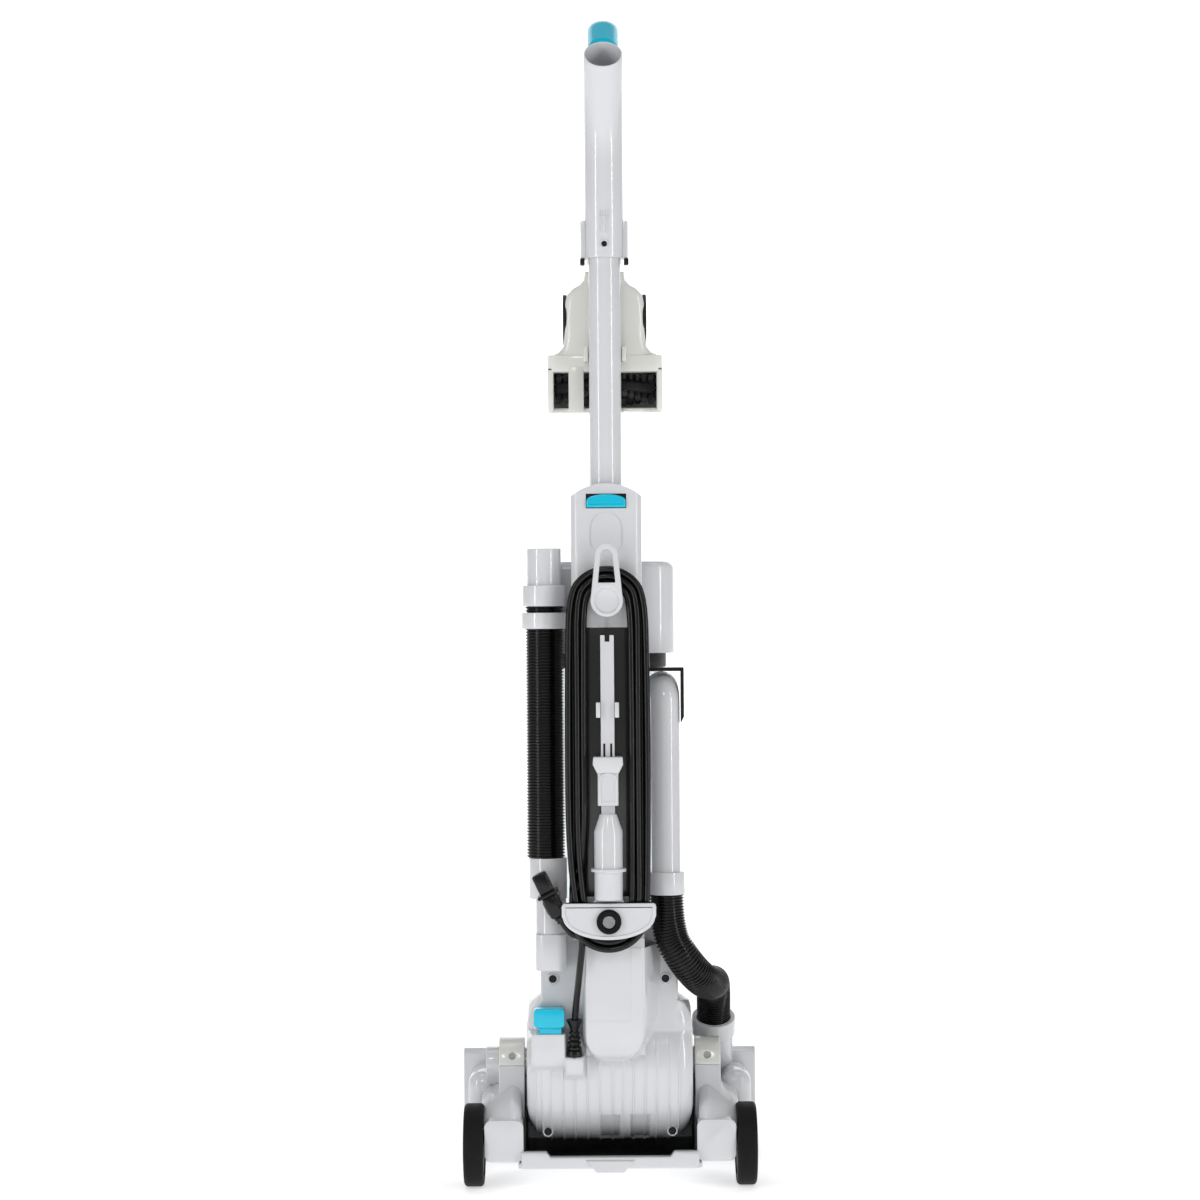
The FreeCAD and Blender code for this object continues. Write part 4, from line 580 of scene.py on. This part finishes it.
class VACUUM_OT_cord(bpy.types.Operator):
    """Mains cord wound on its two hooks, with its strain relief and plug"""
    bl_idname = "vacuum.cord"
    bl_label = "Mains cord"

    def execute(self, context):
        sizes = context.scene.vacuum_sizes
        route = cord_route(sizes.cord_turns)
        curve = bpy.data.curves.new("mains_cord", "CURVE")
        curve.dimensions = "3D"
        curve.resolution_u = 6
        curve.bevel_depth = sizes.cord_d / 2
        curve.bevel_resolution = 3
        curve.use_fill_caps = True
        nurbs(curve, route)
        cord = bpy.data.objects.new("mains_cord", curve)
        context.scene.collection.objects.link(cord)
        curve.materials.append(finish_of("cord_black"))
        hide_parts("cord_hank", "cord_lead")
        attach(cord, "body")
        relief_piece = self.strain_relief()
        plug = self.plug()
        total = path_length(curve_points("measure", route))
        return {"FINISHED"}

    def strain_relief(self):
        """Tapered sleeve with flex ribs under a flared mouth."""
        outline = [(0.0034, 0.0), (0.0074, 0.0), (0.0076, 0.003), (0.0070, 0.0055)]
        for rib in range(4):
            foot = 0.0062 + 0.0047 * rib
            wide = 0.0068 - 0.00055 * rib
            outline += [(wide - 0.0016, foot), (wide - 0.0002, foot + 0.0006), (wide, foot + 0.0018),
                        (wide - 0.0002, foot + 0.003), (wide - 0.0016, foot + 0.0036)]
        outline += [(0.0043, 0.0262), (0.0052, 0.029), (0.0074, 0.0335), (0.0078, 0.0346), (0.0070, 0.0348),
                    (0.0045, 0.0315), (0.0034, 0.031)]
        bm = bmesh.new()
        lathe(bm, outline + outline[:1], Vector(LEAD_ROUTE[0]), UP, 32)
        return keep("cord_sleeve", bm, "cord_black", "body", ["cord_strain_relief"])

    def plug(self):
        """Moulded plug: ribbed tail, grip, flange and blade cover."""
        bm = bmesh.new()
        for low, high, rounding in (
                ((-0.0075, -0.009, 0.007), (0.0075, 0.009, 0.029), 0.0026),
                ((-0.0105, -0.0115, 0.028), (0.0105, 0.0115, 0.0315), 0.0012),
                ((-0.0070, -0.0082, 0.0305), (0.0070, 0.0082, 0.0508), 0.0022),
                ((-0.0085, -0.0060, 0.012), (0.0085, 0.0060, 0.0255), 0.0015),
                ((-0.0045, -0.0095, 0.013), (0.0045, 0.0095, 0.026), 0.0012)):
            brick(bm, low, high, rounding, 3)
        lathe(bm, [(0, 0), (0.0042, 0), (0.0048, 0.0015), (0.0042, 0.003), (0.0052, 0.004), (0.0058, 0.0055),
                   (0.0052, 0.007), (0.0062, 0.0078), (0, 0.0085)], Vector((0, 0, 0)), UP, 24)
        turn = Matrix.Rotation(math.atan2(PLUG_AXIS.x, PLUG_AXIS.z), 4, "Y")
        bmesh.ops.transform(bm, matrix=Matrix.Translation(Vector(TAIL_ROUTE[-1])) @ turn, verts=bm.verts)
        return keep("mains_plug", bm, "cord_black", "body", ["cord_plug"])


class VACUUM_OT_hoses(bpy.types.Operator):
    """Stretch hose on the left and foot hose on the right, with their corrugations"""
    bl_idname = "vacuum.hoses"
    bl_label = "Corrugated hoses"

    def execute(self, context):
        sizes = context.scene.vacuum_sizes
        self.stretch(sizes)
        self.foot(sizes)
        return {"FINISHED"}

    def stretch(self, sizes):
        """Straight hose between its lower cuff and the free nozzle."""
        low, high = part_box("stretch_hose")
        centre = Vector(((low[0] + high[0]) / 2, (low[1] + high[1]) / 2, low[2]))
        radius = (high[0] - low[0]) / 2
        outline = hose_profile(radius, sizes.hose_depth, sizes.hose_pitch, high[2] - low[2])
        bm = bmesh.new()
        lathe(bm, outline, centre, UP, 40)
        bmesh.ops.holes_fill(bm, edges=bm.edges, sides=0)
        piece = keep("stretch_hose_wall", bm, "hose_black", None, ["stretch_hose"], 60)
        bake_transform(piece)

    def foot(self, sizes):
        """Bent hose between the rigid duct and the foot's elbow."""
        points = curve_points("foot_route", FOOT_ROUTE)
        total = path_length(points)
        outline = hose_profile(FOOT_HOSE_R, sizes.hose_depth, sizes.hose_pitch, total)
        bm = bmesh.new()
        lathe(bm, outline, Vector((0, 0, 0)), UP, 40)
        bmesh.ops.holes_fill(bm, edges=bm.edges, sides=0)
        bend_along(bm, points)
        piece = keep("foot_hose_wall", bm, "hose_black", None, ["foot_hose"], 60)
        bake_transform(piece)


# ---- motor housing surface ----

def ease(value, low, high):
    """Smooth rise from 0 at low to 1 at high; low may be the larger."""
    share = min(max((value - low) / (high - low), 0.0), 1.0)
    return share * share * (3 - 2 * share)


def quarter(value, low, high):
    """Quarter of an ellipse: 0 at low, rising steeply to 1 at high."""
    share = min(max((value - low) / (high - low), 0.0), 1.0)
    return math.sqrt(1 - (1 - share) ** 2)


def skin_half_width(z, angle):
    """Half width of the motor housing's rear at a height."""
    if z > 0.150 and angle > 0:
        return 0.0646 + 0.0137 * math.sqrt(max(0.0, 1 - (min(z - 0.150, 0.028) / 0.028) ** 2))
    if z < 0.075:
        return 0.066 + 0.0123 * math.sqrt(max(0.0, 1 - ((0.075 - z) / 0.037) ** 2))
    return 0.0783


def skin_point(across, travel):
    """Point of the motor housing's rear skin: across from -1 to 1, travel in metres down from its top."""
    top_angle = math.acos((PIVOT.y - SKIN_FLAT_Y) / SKIN_R)
    join_z = PIVOT.z + SKIN_R * math.sin(top_angle)
    flat = SKIN_TOP_Z - join_z
    if travel < flat:
        z, radial, angle = SKIN_TOP_Z - travel, None, 1.0
    else:
        angle = top_angle - (travel - flat) / SKIN_R
        radial = SKIN_R
        z = PIVOT.z + SKIN_R * math.sin(angle)
    half = skin_half_width(z, angle)
    x = across * half
    soft = 0.018 - 0.0165 * ease(z, 0.165, 0.182)
    edge = min(max((abs(x) - (half - soft)) / soft, 0.0), 1.0)
    drop = min(soft, 0.0115) * (1 - math.sqrt(max(0.0, 1 - edge * edge)))
    drop -= rib_height(x, z, angle)
    if radial is None:
        y = SKIN_FLAT_Y + drop
    else:
        y = PIVOT.y - (radial - drop) * math.cos(angle)
        z = PIVOT.z + (radial - drop) * math.sin(angle)
    if z > 0.105 and angle > -0.2:
        y = raise_features(x, y, z)
    return Vector((x, y, z))


def rib_height(x, z, angle):
    """Height of the upright ribs, the two vent windows and the screw wells."""
    height = 0.0
    if angle < 0.6:
        fade = ease(z, 0.146, 0.134)
        for rib in RIBS:
            height = max(height, 0.0011 * fade * (1 - ease(abs(x - rib), 0.0004, 0.0012)))
    if z < 0.070 and -1.45 < angle < 0:
        for low, high in ((-0.0095, 0.0095), (0.019, 0.038)):
            inside = ease(x, low, low + 0.0008) * ease(x, high, high - 0.0008)
            height -= 0.0030 * inside * ease(z, 0.0695, 0.0685)
    for hole_x, hole_z in SCREW_HOLES:
        away = math.hypot(x - hole_x, z - hole_z)
        height -= (0.0045 if hole_z < 0.1 else 0.0012) * (1 - ease(away, 0.0040, 0.0048))
        height += 0.0005 * (1 - ease(abs(away - 0.0056), 0.0002, 0.0008))
    return height


def raise_features(x, y, z):
    """Lift the central tongue, the switch ledge and the cord's seat out of the skin."""
    tongue = -0.0325 - 0.0303 * quarter(z, 0.122, 0.180)
    round_end = 0.0283 * quarter(z, 0.1215, 0.150)
    inside = (1 - ease(0.0048 - x, round_end - 0.002, round_end + 0.004)) * (
        1 - ease(x - 0.0048, round_end - 0.003, round_end + 0.0115 * ease(z, 0.13, 0.17) + 0.004))
    y = y + min(tongue - y, 0) * inside
    if 0.0 < z - 0.160:
        outside = max(abs(x) - 0.0196, 0)
        y += 0.0006 * (1 - ease(outside, 0.0, 0.0006)) * ease(z, 0.1635, 0.1645) * (1 if y < -0.055 else 0)
    ledge = -0.0232 - 0.0234 * quarter(z, 0.112, 0.138)
    inside = ease(x, -0.0775, -0.0715) * ease(x, -0.0385, -0.0425) * ease(z, 0.1512, 0.1495)
    y = y + min(ledge - y, 0) * inside
    seat = -0.0300 - 0.0165 * quarter(z, 0.106, 0.126)
    inside = (1 - ease(abs(x + 0.033), 0.0078, 0.0102)) * ease(z, 0.1288, 0.1275)
    return y + min(seat - y, 0) * inside


class VACUUM_OT_motor_skin(bpy.types.Operator):
    """Motor housing: ribbed barrel, shoulders, central tongue, switch ledge and vent windows"""
    bl_idname = "vacuum.motor_skin"
    bl_label = "Motor housing"

    def execute(self, context):
        bm = bmesh.new()
        columns = 196
        rows = 176
        top_angle = math.acos((PIVOT.y - SKIN_FLAT_Y) / SKIN_R)
        flat = SKIN_TOP_Z - PIVOT.z - SKIN_R * math.sin(top_angle)
        total = flat + SKIN_R * (top_angle + math.radians(107))
        bmesh.ops.create_grid(bm, x_segments=columns, y_segments=rows, size=1)
        for vert in bm.verts:
            vert.co = skin_point(vert.co.x, (1 - vert.co.y) / 2 * total)
        sides = [edge for edge in bm.edges if edge.is_boundary]
        made = bmesh.ops.extrude_edge_only(bm, edges=sides)["geom"]
        for vert in made:
            if isinstance(vert, bmesh.types.BMVert):
                vert.co = Vector((vert.co.x * 0.995, *(PIVOT + (vert.co - PIVOT) * 0.86).yz))
        keep("motor_housing_skin", bm, "white_abs", "body", smooth_deg=50)
        self.core()
        self.screws()
        return {"FINISHED"}

    def screws(self):
        """Dark screw heads in their wells at the housing's four corners."""
        bm = bmesh.new()
        for x, z in SCREW_HOLES:
            face = -0.0236 if z > 0.1 else -0.0062
            lathe(bm, [(0, 0.0), (0.0030, 0.0), (0.0036, -0.0006), (0.0036, -0.008), (0, -0.008)],
                  Vector((x, face, z)), BACK, 28)
        keep("housing_screws", bm, "black_plastic", "body")
        bm = bmesh.new()
        for x, z in SCREW_HOLES:
            face = -0.0240 if z > 0.1 else -0.0066
            lathe(bm, [(0.0036, -0.003), (0.0037, 0.0), (0.0044, 0.0004), (0.0051, -0.0002), (0.0052, -0.003),
                       (0.0036, -0.003)], Vector((x, face, z)), BACK, 28)
        keep("housing_screw_rims", bm, "white_abs", "body")

    def core(self):
        """Inner barrel, end discs, pivot stubs and the neck under the tank."""
        bm = bmesh.new()
        lathe(bm, [(0.008, -0.106), (0.0135, -0.106), (0.014, -0.1055), (0.014, -0.079), (0.016, -0.078),
                   (0.056, -0.0778), (0.060, -0.076), (0.0665, -0.066), (0.0665, 0.066), (0.060, 0.076),
                   (0.056, 0.0778), (0.016, 0.078), (0.014, 0.079), (0.014, 0.1055), (0.0135, 0.106),
                   (0.008, 0.106), (0.008, -0.106)], PIVOT, Vector((1, 0, 0)), 64)
        brick(bm, (-0.064, -0.010, 0.150), (0.064, 0.062, 0.218), 0.004, 3)
        keep("motor_housing_core", bm, "white_abs", "body", ["motor_housing"])


class VACUUM_OT_fenders(bpy.types.Operator):
    """Curved covers between the nozzle, the pivots and the wheel arms"""
    bl_idname = "vacuum.fenders"
    bl_label = "Fenders"

    def execute(self, context):
        for side, name in ((-1, "left"), (1, "right")):
            bm = bmesh.new()
            outline = ((-0.027, 0.058), (-0.027, 0.068), (-0.016, 0.080), (0.004, 0.091), (0.030, 0.098),
                       (0.070, 0.101), (0.119, 0.101), (0.119, 0.058))
            verts = [bm.verts.new((side * 0.0835, y, z)) for y, z in outline]
            face = bm.faces.new(verts)
            grown = bmesh.ops.extrude_face_region(bm, geom=[face])["geom"]
            top = [item for item in grown if isinstance(item, bmesh.types.BMVert)]
            bmesh.ops.translate(bm, vec=(side * 0.040, 0, 0), verts=top)
            for vert in top:
                if vert.co.z > 0.06:
                    vert.co.z -= 0.012
                    vert.co.y += 0.006
            edges = [edge for edge in bm.edges
                     if edge.calc_face_angle(0) > 0.9 and max(v.co.z for v in edge.verts) > 0.06]
            round_edges(bm, edges, 0.011, 6)
            x_low, x_high = sorted((side * 0.108, side * 0.137))
            brick(bm, (x_low, 0.046, 0.050), (x_high, 0.119, 0.100), 0.013, 6)
            keep("fender_" + name, bm, "white_abs", "foot", smooth_deg=55)
        return {"FINISHED"}


def plate(bm, outline, low, high, rim=0.0, sink=0.0, edge=0.0):
    """A flat plate from an outline of (x, z), with a raised rim on its rear face and rounded edges."""
    verts = [bm.verts.new((x, high, z)) for x, z in outline]
    face = bm.faces.new(verts)
    grown = bmesh.ops.extrude_face_region(bm, geom=[face])["geom"]
    rear = [item for item in grown if isinstance(item, bmesh.types.BMVert)]
    bmesh.ops.translate(bm, vec=(0, low - high, 0), verts=rear)
    rear_face = next(item for item in grown if isinstance(item, bmesh.types.BMFace))
    bmesh.ops.recalc_face_normals(bm, faces=bm.faces)
    if edge:
        round_edges(bm, list(rear_face.edges), edge)
        rear_face = min(bm.faces, key=lambda item: (round(item.calc_center_median().y, 5), -item.calc_area()))
    if rim:
        bmesh.ops.inset_region(bm, faces=[rear_face], thickness=rim, depth=0, use_even_offset=True)
        bmesh.ops.inset_region(bm, faces=[rear_face], thickness=sink * 0.6, depth=-sink, use_even_offset=True)
    return bm


def arc(x, z, radius_x, radius_z, start, stop, count):
    """Points of an elliptic arc in the X-Z plane, angles in degrees."""
    angles = [math.radians(start + (stop - start) * i / count) for i in range(count + 1)]
    return [(x + radius_x * math.cos(a), z + radius_z * math.sin(a)) for a in angles]


class VACUUM_OT_cord_bracket(bpy.types.Operator):
    """Lower cord bracket with its raised rim, rubber bumper and cross-head screw"""
    bl_idname = "vacuum.cord_bracket"
    bl_label = "Lower cord bracket"

    def execute(self, context):
        outline = arc(-0.0405, 0.2730, 0.003, 0.003, 180, 90, 5) + arc(0.0405, 0.2730, 0.003, 0.003, 90, 0, 5)
        outline += [(0.0435, 0.264)] + arc(0, 0.2635, 0.0425, 0.0213, -4, -176, 30) + [(-0.0435, 0.264)]
        bm = bmesh.new()
        plate(bm, outline, -0.0860, -0.0812, 0.0022, 0.0011, 0.0008)
        lathe(bm, [(0, -0.0205), (0.0150, -0.0205), (0.0170, -0.0190), (0.0170, -0.0005), (0, -0.0005)],
              Vector((0, -0.0615, 0.2675)), Vector((0, 1, 0)), 40)
        keep("cord_bracket", bm, "white_abs", "body", ["lower_cord_bracket"])
        bm = bmesh.new()
        lathe(bm, [(0.0060, 0.0), (0.0060, 0.0026), (0.0068, 0.0036), (0.0080, 0.0042), (0.0100, 0.0040),
                   (0.0112, 0.0028), (0.0115, 0.0010), (0.0115, 0.0)], Vector((0, -0.0858, 0.259)), BACK, 40)
        keep("bumper_ring", bm, "rubber_black", "body", ["bracket_bumper"])
        bm = bmesh.new()
        lathe(bm, [(0, 0.0024), (0.0030, 0.0023), (0.0050, 0.0016), (0.0056, 0.0006), (0.0056, 0)],
              Vector((0, -0.0860, 0.259)), BACK, 32)
        keep("bumper_screw", bm, "steel", "body")
        bm = bmesh.new()
        # Painted shade: a black cross on the steel head stands for the shade in its cross-head recess.
        for turn in (45, 135):
            bar = brick(bm, (-0.0030, -0.0888, -0.0006), (0.0030, -0.0878, 0.0006))
            matrix = Matrix.Rotation(math.radians(turn), 3, "Y")
            bmesh.ops.rotate(bm, cent=(0, 0, 0), matrix=matrix, verts=bar)
        bmesh.ops.translate(bm, vec=(0, 0, 0.259), verts=bm.verts)
        keep("bumper_screw_recess_shade", bm, "black_plastic", "body")
        return {"FINISHED"}


class VACUUM_OT_release_button(bpy.types.Operator):
    """Arched release button over a black plate that paints the shade round it and the shadow below it"""
    bl_idname = "vacuum.release_button"
    bl_label = "Release button"

    def execute(self, context):
        outline = [(-0.0182, 0.6415), (0.0182, 0.6415)] + arc(0, 0.6480, 0.0182, 0.0057, 0, 180, 20)
        bm = bmesh.new()
        plate(bm, outline, -0.0648, -0.0601, 0.0016, 0.0006, 0.0010)
        keep("release_button_cap", bm, "teal_abs", "wand_button", ["release_button"])
        bm = bmesh.new()
        # Painted shade: a black plate a little larger than the button shows round it and mostly below it.
        brick(bm, (-0.0187, -0.0611, 0.6388), (0.0187, -0.0599, 0.6542), 0.0005, 2)
        keep("button_gap_shade", bm, "black_plastic", "body")
        return {"FINISHED"}


class VACUUM_OT_turbo(bpy.types.Operator):
    """Turbo tool: rounded turbine case, open brush box, strap and tufted roll"""
    bl_idname = "vacuum.turbo"
    bl_label = "Turbo tool"

    def execute(self, context):
        side = [(0.0185, 0.866), (0.0195, 0.858), (0.0235, 0.8535), (0.0300, 0.8500), (0.0355, 0.8440),
                (0.0378, 0.8350), (0.0385, 0.8200), (0.0382, 0.8050), (0.0392, 0.7950), (0.0440, 0.7895),
                (0.0505, 0.7868), (0.0540, 0.7820), (0.0540, 0.7745)]
        outline = side + [(-x, z) for x, z in reversed(side)]
        bm = bmesh.new()
        plate(bm, outline, -0.0195, 0.0330, edge=0.0075)
        for low, high, rounding in (
                ((-0.0540, -0.0208, 0.7705), (0.0540, 0.0330, 0.7868), 0.002),
                ((-0.0540, -0.0100, 0.7330), (0.0540, 0.0330, 0.7375), 0.002),
                ((-0.0540, -0.0208, 0.7340), (-0.0485, 0.0330, 0.7760), 0.002),
                ((0.0485, -0.0208, 0.7340), (0.0540, 0.0330, 0.7760), 0.002),
                ((-0.0540, 0.0240, 0.7340), (0.0540, 0.0330, 0.7760), 0.002),
                ((-0.0345, -0.0212, 0.7335), (-0.0200, -0.0180, 0.7760), 0.0012),
                ((0.0170, -0.0205, 0.7330), (0.0360, -0.0100, 0.7362), 0.001),
                ((-0.0200, -0.0400, 0.7790), (-0.0156, -0.0150, 0.7930), 0.0014),
                ((0.0156, -0.0400, 0.7790), (0.0200, -0.0150, 0.7930), 0.0014)):
            brick(bm, low, high, rounding, 2)
        keep("turbo_case", bm, "warm_white_abs", "turbo", ["turbo_housing"])
        self.roll()
        return {"FINISHED"}

    def roll(self):
        """Grooved roll with two winding rows of tufts."""
        centre = Vector((0, 0.003, 0.757))
        bm = bmesh.new()
        lathe(bm, [(0, -0.052), (0.0029, -0.052), (0.0029, -0.047), (0.0092, -0.047), (0.0098, -0.046),
                   (0.0098, 0.046), (0.0092, 0.047), (0.0029, 0.047), (0.0029, 0.052), (0, 0.052)],
              centre, Vector((1, 0, 0)), 32)
        keep("turbo_core", bm, "black_plastic", "turbo_roll", ["turbo_brush"])
        bm = bmesh.new()
        for row in range(4):
            for step in range(15):
                x = -0.0435 + 0.0062 * step
                made = bmesh.ops.create_cone(bm, cap_ends=True, segments=7, radius1=0.0021, radius2=0.0030,
                                             depth=0.0078)["verts"]
                bmesh.ops.translate(bm, vec=(x, 0, 0.0132), verts=made)
                turn = math.radians(90 * row + 55 * abs(step - 7) / 7)
                bmesh.ops.rotate(bm, cent=(0, 0, 0), matrix=Matrix.Rotation(turn, 3, "X"), verts=made)
        bmesh.ops.translate(bm, vec=centre, verts=bm.verts)
        keep("turbo_tufts", bm, "bristle", "turbo_roll")


class VACUUM_OT_dusting_brush(bpy.types.Operator):
    """Slider and head of the dusting brush with their raised outlines"""
    bl_idname = "vacuum.dusting_brush"
    bl_label = "Dusting brush"

    def execute(self, context):
        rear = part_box("dusting_brush")[0].y
        bm = bmesh.new()
        slider = arc(0, 0.3900, 0.0090, 0.0065, 0, 180, 16) + [(-0.0090, 0.3670), (0.0090, 0.3670)]
        plate(bm, slider, rear - 0.0007, rear + 0.004, 0.0018, 0.0008, 0.0006)
        keep("duster_slider", bm, "white_abs", "duster")
        bm = bmesh.new()
        head = [(-0.0100, 0.3960), (0.0100, 0.3960)] + arc(0.0110, 0.4085, 0.0028, 0.0025, 0, 90, 5)
        head += arc(-0.0110, 0.4085, 0.0028, 0.0025, 90, 180, 5)
        plate(bm, head, rear - 0.0004, rear + 0.004, edge=0.0010)
        keep("duster_head", bm, "white_abs", "duster")
        bm = bmesh.new()
        # Painted shade: two black bricks stand for the shade inside the blade's slots.
        for x in (-0.0032, 0.0032):
            brick(bm, (x - 0.0010, BLADE_REAR - 0.0001, 0.4105), (x + 0.0010, BLADE_REAR + 0.003, 0.4230),
                  0.0001, 1)
        keep("duster_slot_shade", bm, "black_plastic", "crevice")
        return {"FINISHED"}


class VACUUM_OT_handle_details(bpy.types.Operator):
    """Handle screw in its ring, the raised rib above it and black bricks of painted shade in the holder's
    slots
    """
    bl_idname = "vacuum.handle_details"
    bl_label = "Handle details"

    def execute(self, context):
        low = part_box("handle_tube")[0]
        rear = -0.058
        head_z = low.z + 0.012
        bm = bmesh.new()
        lathe(bm, [(0.0030, -0.001), (0.0030, 0.0004), (0.0036, 0.0008), (0.0042, 0.0004), (0.0042, -0.001),
                   (0.0030, -0.001)], Vector((0, rear, head_z)), BACK, 28)
        for x in (-0.0024, 0.0024):
            brick(bm, (x - 0.0006, rear - 0.0010, head_z + 0.010),
                  (x + 0.0006, rear + 0.0012, head_z + 0.031), 0.0004, 2)
        brick(bm, (-0.0045, rear - 0.0010, head_z + 0.0245),
              (0.0045, rear + 0.0014, head_z + 0.0260), 0.0004, 2)
        keep("handle_rib", bm, "white_abs", "wand")
        bm = bmesh.new()
        lathe(bm, [(0, 0.0002), (0.0020, 0.0001), (0.0029, -0.0006), (0.0029, -0.0014)],
              Vector((0, rear, head_z)), BACK, 24)
        # Painted shade: two black bricks stand for the shade inside the holder's slots.
        for sign in (-1, 1):
            slot_x = sign * 0.0205
            brick(bm, (slot_x - 0.0022, -0.048, low.z - 0.0062), (slot_x + 0.0022, -0.036, low.z - 0.0004),
                  0.0008, 2)
        keep("handle_screw_and_slot_shade", bm, "black_plastic", "wand")
        return {"FINISHED"}


class VACUUM_OT_painted_gap_shade(bpy.types.Operator):
    """Dark sheet of painted shade in the gap between the motor housing and the foot"""
    bl_idname = "vacuum.foot_liner"
    bl_label = "Painted gap shade"

    def execute(self, context):
        bm = bmesh.new()
        # Painted shade: thin black plates under and beside the housing stand for the shade in its gap.
        brick(bm, (-0.0812, -0.0300, 0.0255), (0.0812, 0.1000, 0.0272), 0.0005, 2)
        brick(bm, (-0.0812, -0.0310, 0.0260), (-0.0795, 0.0700, 0.0640), 0.0005, 2)
        brick(bm, (0.0795, -0.0310, 0.0260), (0.0812, 0.0700, 0.0640), 0.0005, 2)
        keep("painted_gap_shade", bm, "black_plastic", "foot")
        return {"FINISHED"}


SOFT_NODES = {
    "foot_housing": 0.6, "base_frame": 1.0, "hose_elbow": 0.6, "trunnion_caps": 1.2,
    "hose_clip": 0.6, "hose_lower_cuff": 0.5, "hose_pipe": 0.8, "duct_pipe": 0.6, "cord_hook": 0.9,
    "tool_clips": 0.5, "crevice_tool": 0.5, "dusting_brush": 0.9, "hose_nozzle": 0.5,
    "tank_lid": 0.8, "tank_latch": 0.6, "power_switch": 1.4, "wand_tube": 0.3,
    "handle_tube": 0.5, "tool_holder": 0.6, "turbo_covers": 0.6, "duct_bracket": 0.5,
    "spine_panel": 0.4, "tank_collar": 0.5, "motor_front_cover": 0.8,
}


def merged(node):
    """A merged copy of a node's mesh with flat regions joined into single faces."""
    source = frame["nodes"][node]
    bm = bmesh.new()
    bm.from_mesh(source.data)
    bm.transform(source.matrix_world)
    bmesh.ops.remove_doubles(bm, verts=bm.verts, dist=5e-6)
    bmesh.ops.dissolve_limit(bm, angle_limit=math.radians(0.6), use_dissolve_boundaries=False, verts=bm.verts,
                             edges=bm.edges, delimit=set())
    return bm


def soften(node, width_mm, body):
    """Copy of a moulding with its sharp edges rounded as a mould leaves them."""
    bm = merged(node)
    sharp = [edge for edge in bm.edges
             if len(edge.link_faces) == 2 and edge.calc_face_angle(0) > math.radians(38)]
    round_edges(bm, sharp, width_mm * MM)
    return keep(node + "_moulded", bm, SLOT_OF[node], body, [node], 38)


class VACUUM_OT_mouldings(bpy.types.Operator):
    """Round the sharp edges of every plain moulding"""
    bl_idname = "vacuum.mouldings"
    bl_label = "Mouldings"

    def execute(self, context):
        groups = frame["record"]["behaviour"]["bodies"]
        body_of = {node: body for body, nodes in groups.items() for node in nodes}
        for node, width in SOFT_NODES.items():
            soften(node, width, body_of[node])
        return {"FINISHED"}


class VACUUM_OT_finishes(bpy.types.Operator):
    """Give every moulding that is still shown its own finish"""
    bl_idname = "vacuum.finishes"
    bl_label = "Finishes"

    def execute(self, context):
        for node, piece in frame["nodes"].items():
            material = finish_of(SLOT_OF[node])
            if not piece.data.materials:
                piece.data.materials.append(material)
            for slot in piece.material_slots:
                slot.material = material
        return {"FINISHED"}


class VACUUM_PT_panel(bpy.types.Panel):
    """Lists the steps that dress the cleaner"""
    bl_idname = "VACUUM_PT_panel"
    bl_label = "Vacuum cleaner"
    bl_space_type = "VIEW_3D"
    bl_region_type = "UI"
    bl_category = "Vacuum"

    def draw(self, context):
        column = self.layout.column()
        for operator in OPERATORS:
            column.operator(operator.bl_idname)
        for group in (context.scene.vacuum_sizes, context.scene.vacuum_colours):
            for field in group.bl_rna.properties:
                if field.identifier not in ("rna_type", "name"):
                    column.prop(group, field.identifier)


OPERATORS = [VACUUM_OT_stage, VACUUM_OT_cord, VACUUM_OT_hoses, VACUUM_OT_motor_skin, VACUUM_OT_fenders,
             VACUUM_OT_painted_gap_shade, VACUUM_OT_cord_bracket, VACUUM_OT_release_button, VACUUM_OT_turbo,
             VACUUM_OT_dusting_brush, VACUUM_OT_handle_details, VACUUM_OT_mouldings, VACUUM_OT_finishes]
CLASSES = [VacuumColours, VacuumSizes, *OPERATORS, VACUUM_PT_panel]


def register():
    for item in CLASSES:
        bpy.utils.register_class(item)
    bpy.types.Scene.vacuum_colours = PointerProperty(type=VacuumColours)
    bpy.types.Scene.vacuum_sizes = PointerProperty(type=VacuumSizes)


def unregister():
    del bpy.types.Scene.vacuum_sizes
    del bpy.types.Scene.vacuum_colours
    for item in reversed(CLASSES):
        bpy.utils.unregister_class(item)


def main():
    """Register the add-on and make every piece."""
    register()
    for operator in OPERATORS:
        space, name = operator.bl_idname.split(".")
        getattr(getattr(bpy.ops, space), name)()


if __name__ == "__main__":
    main()
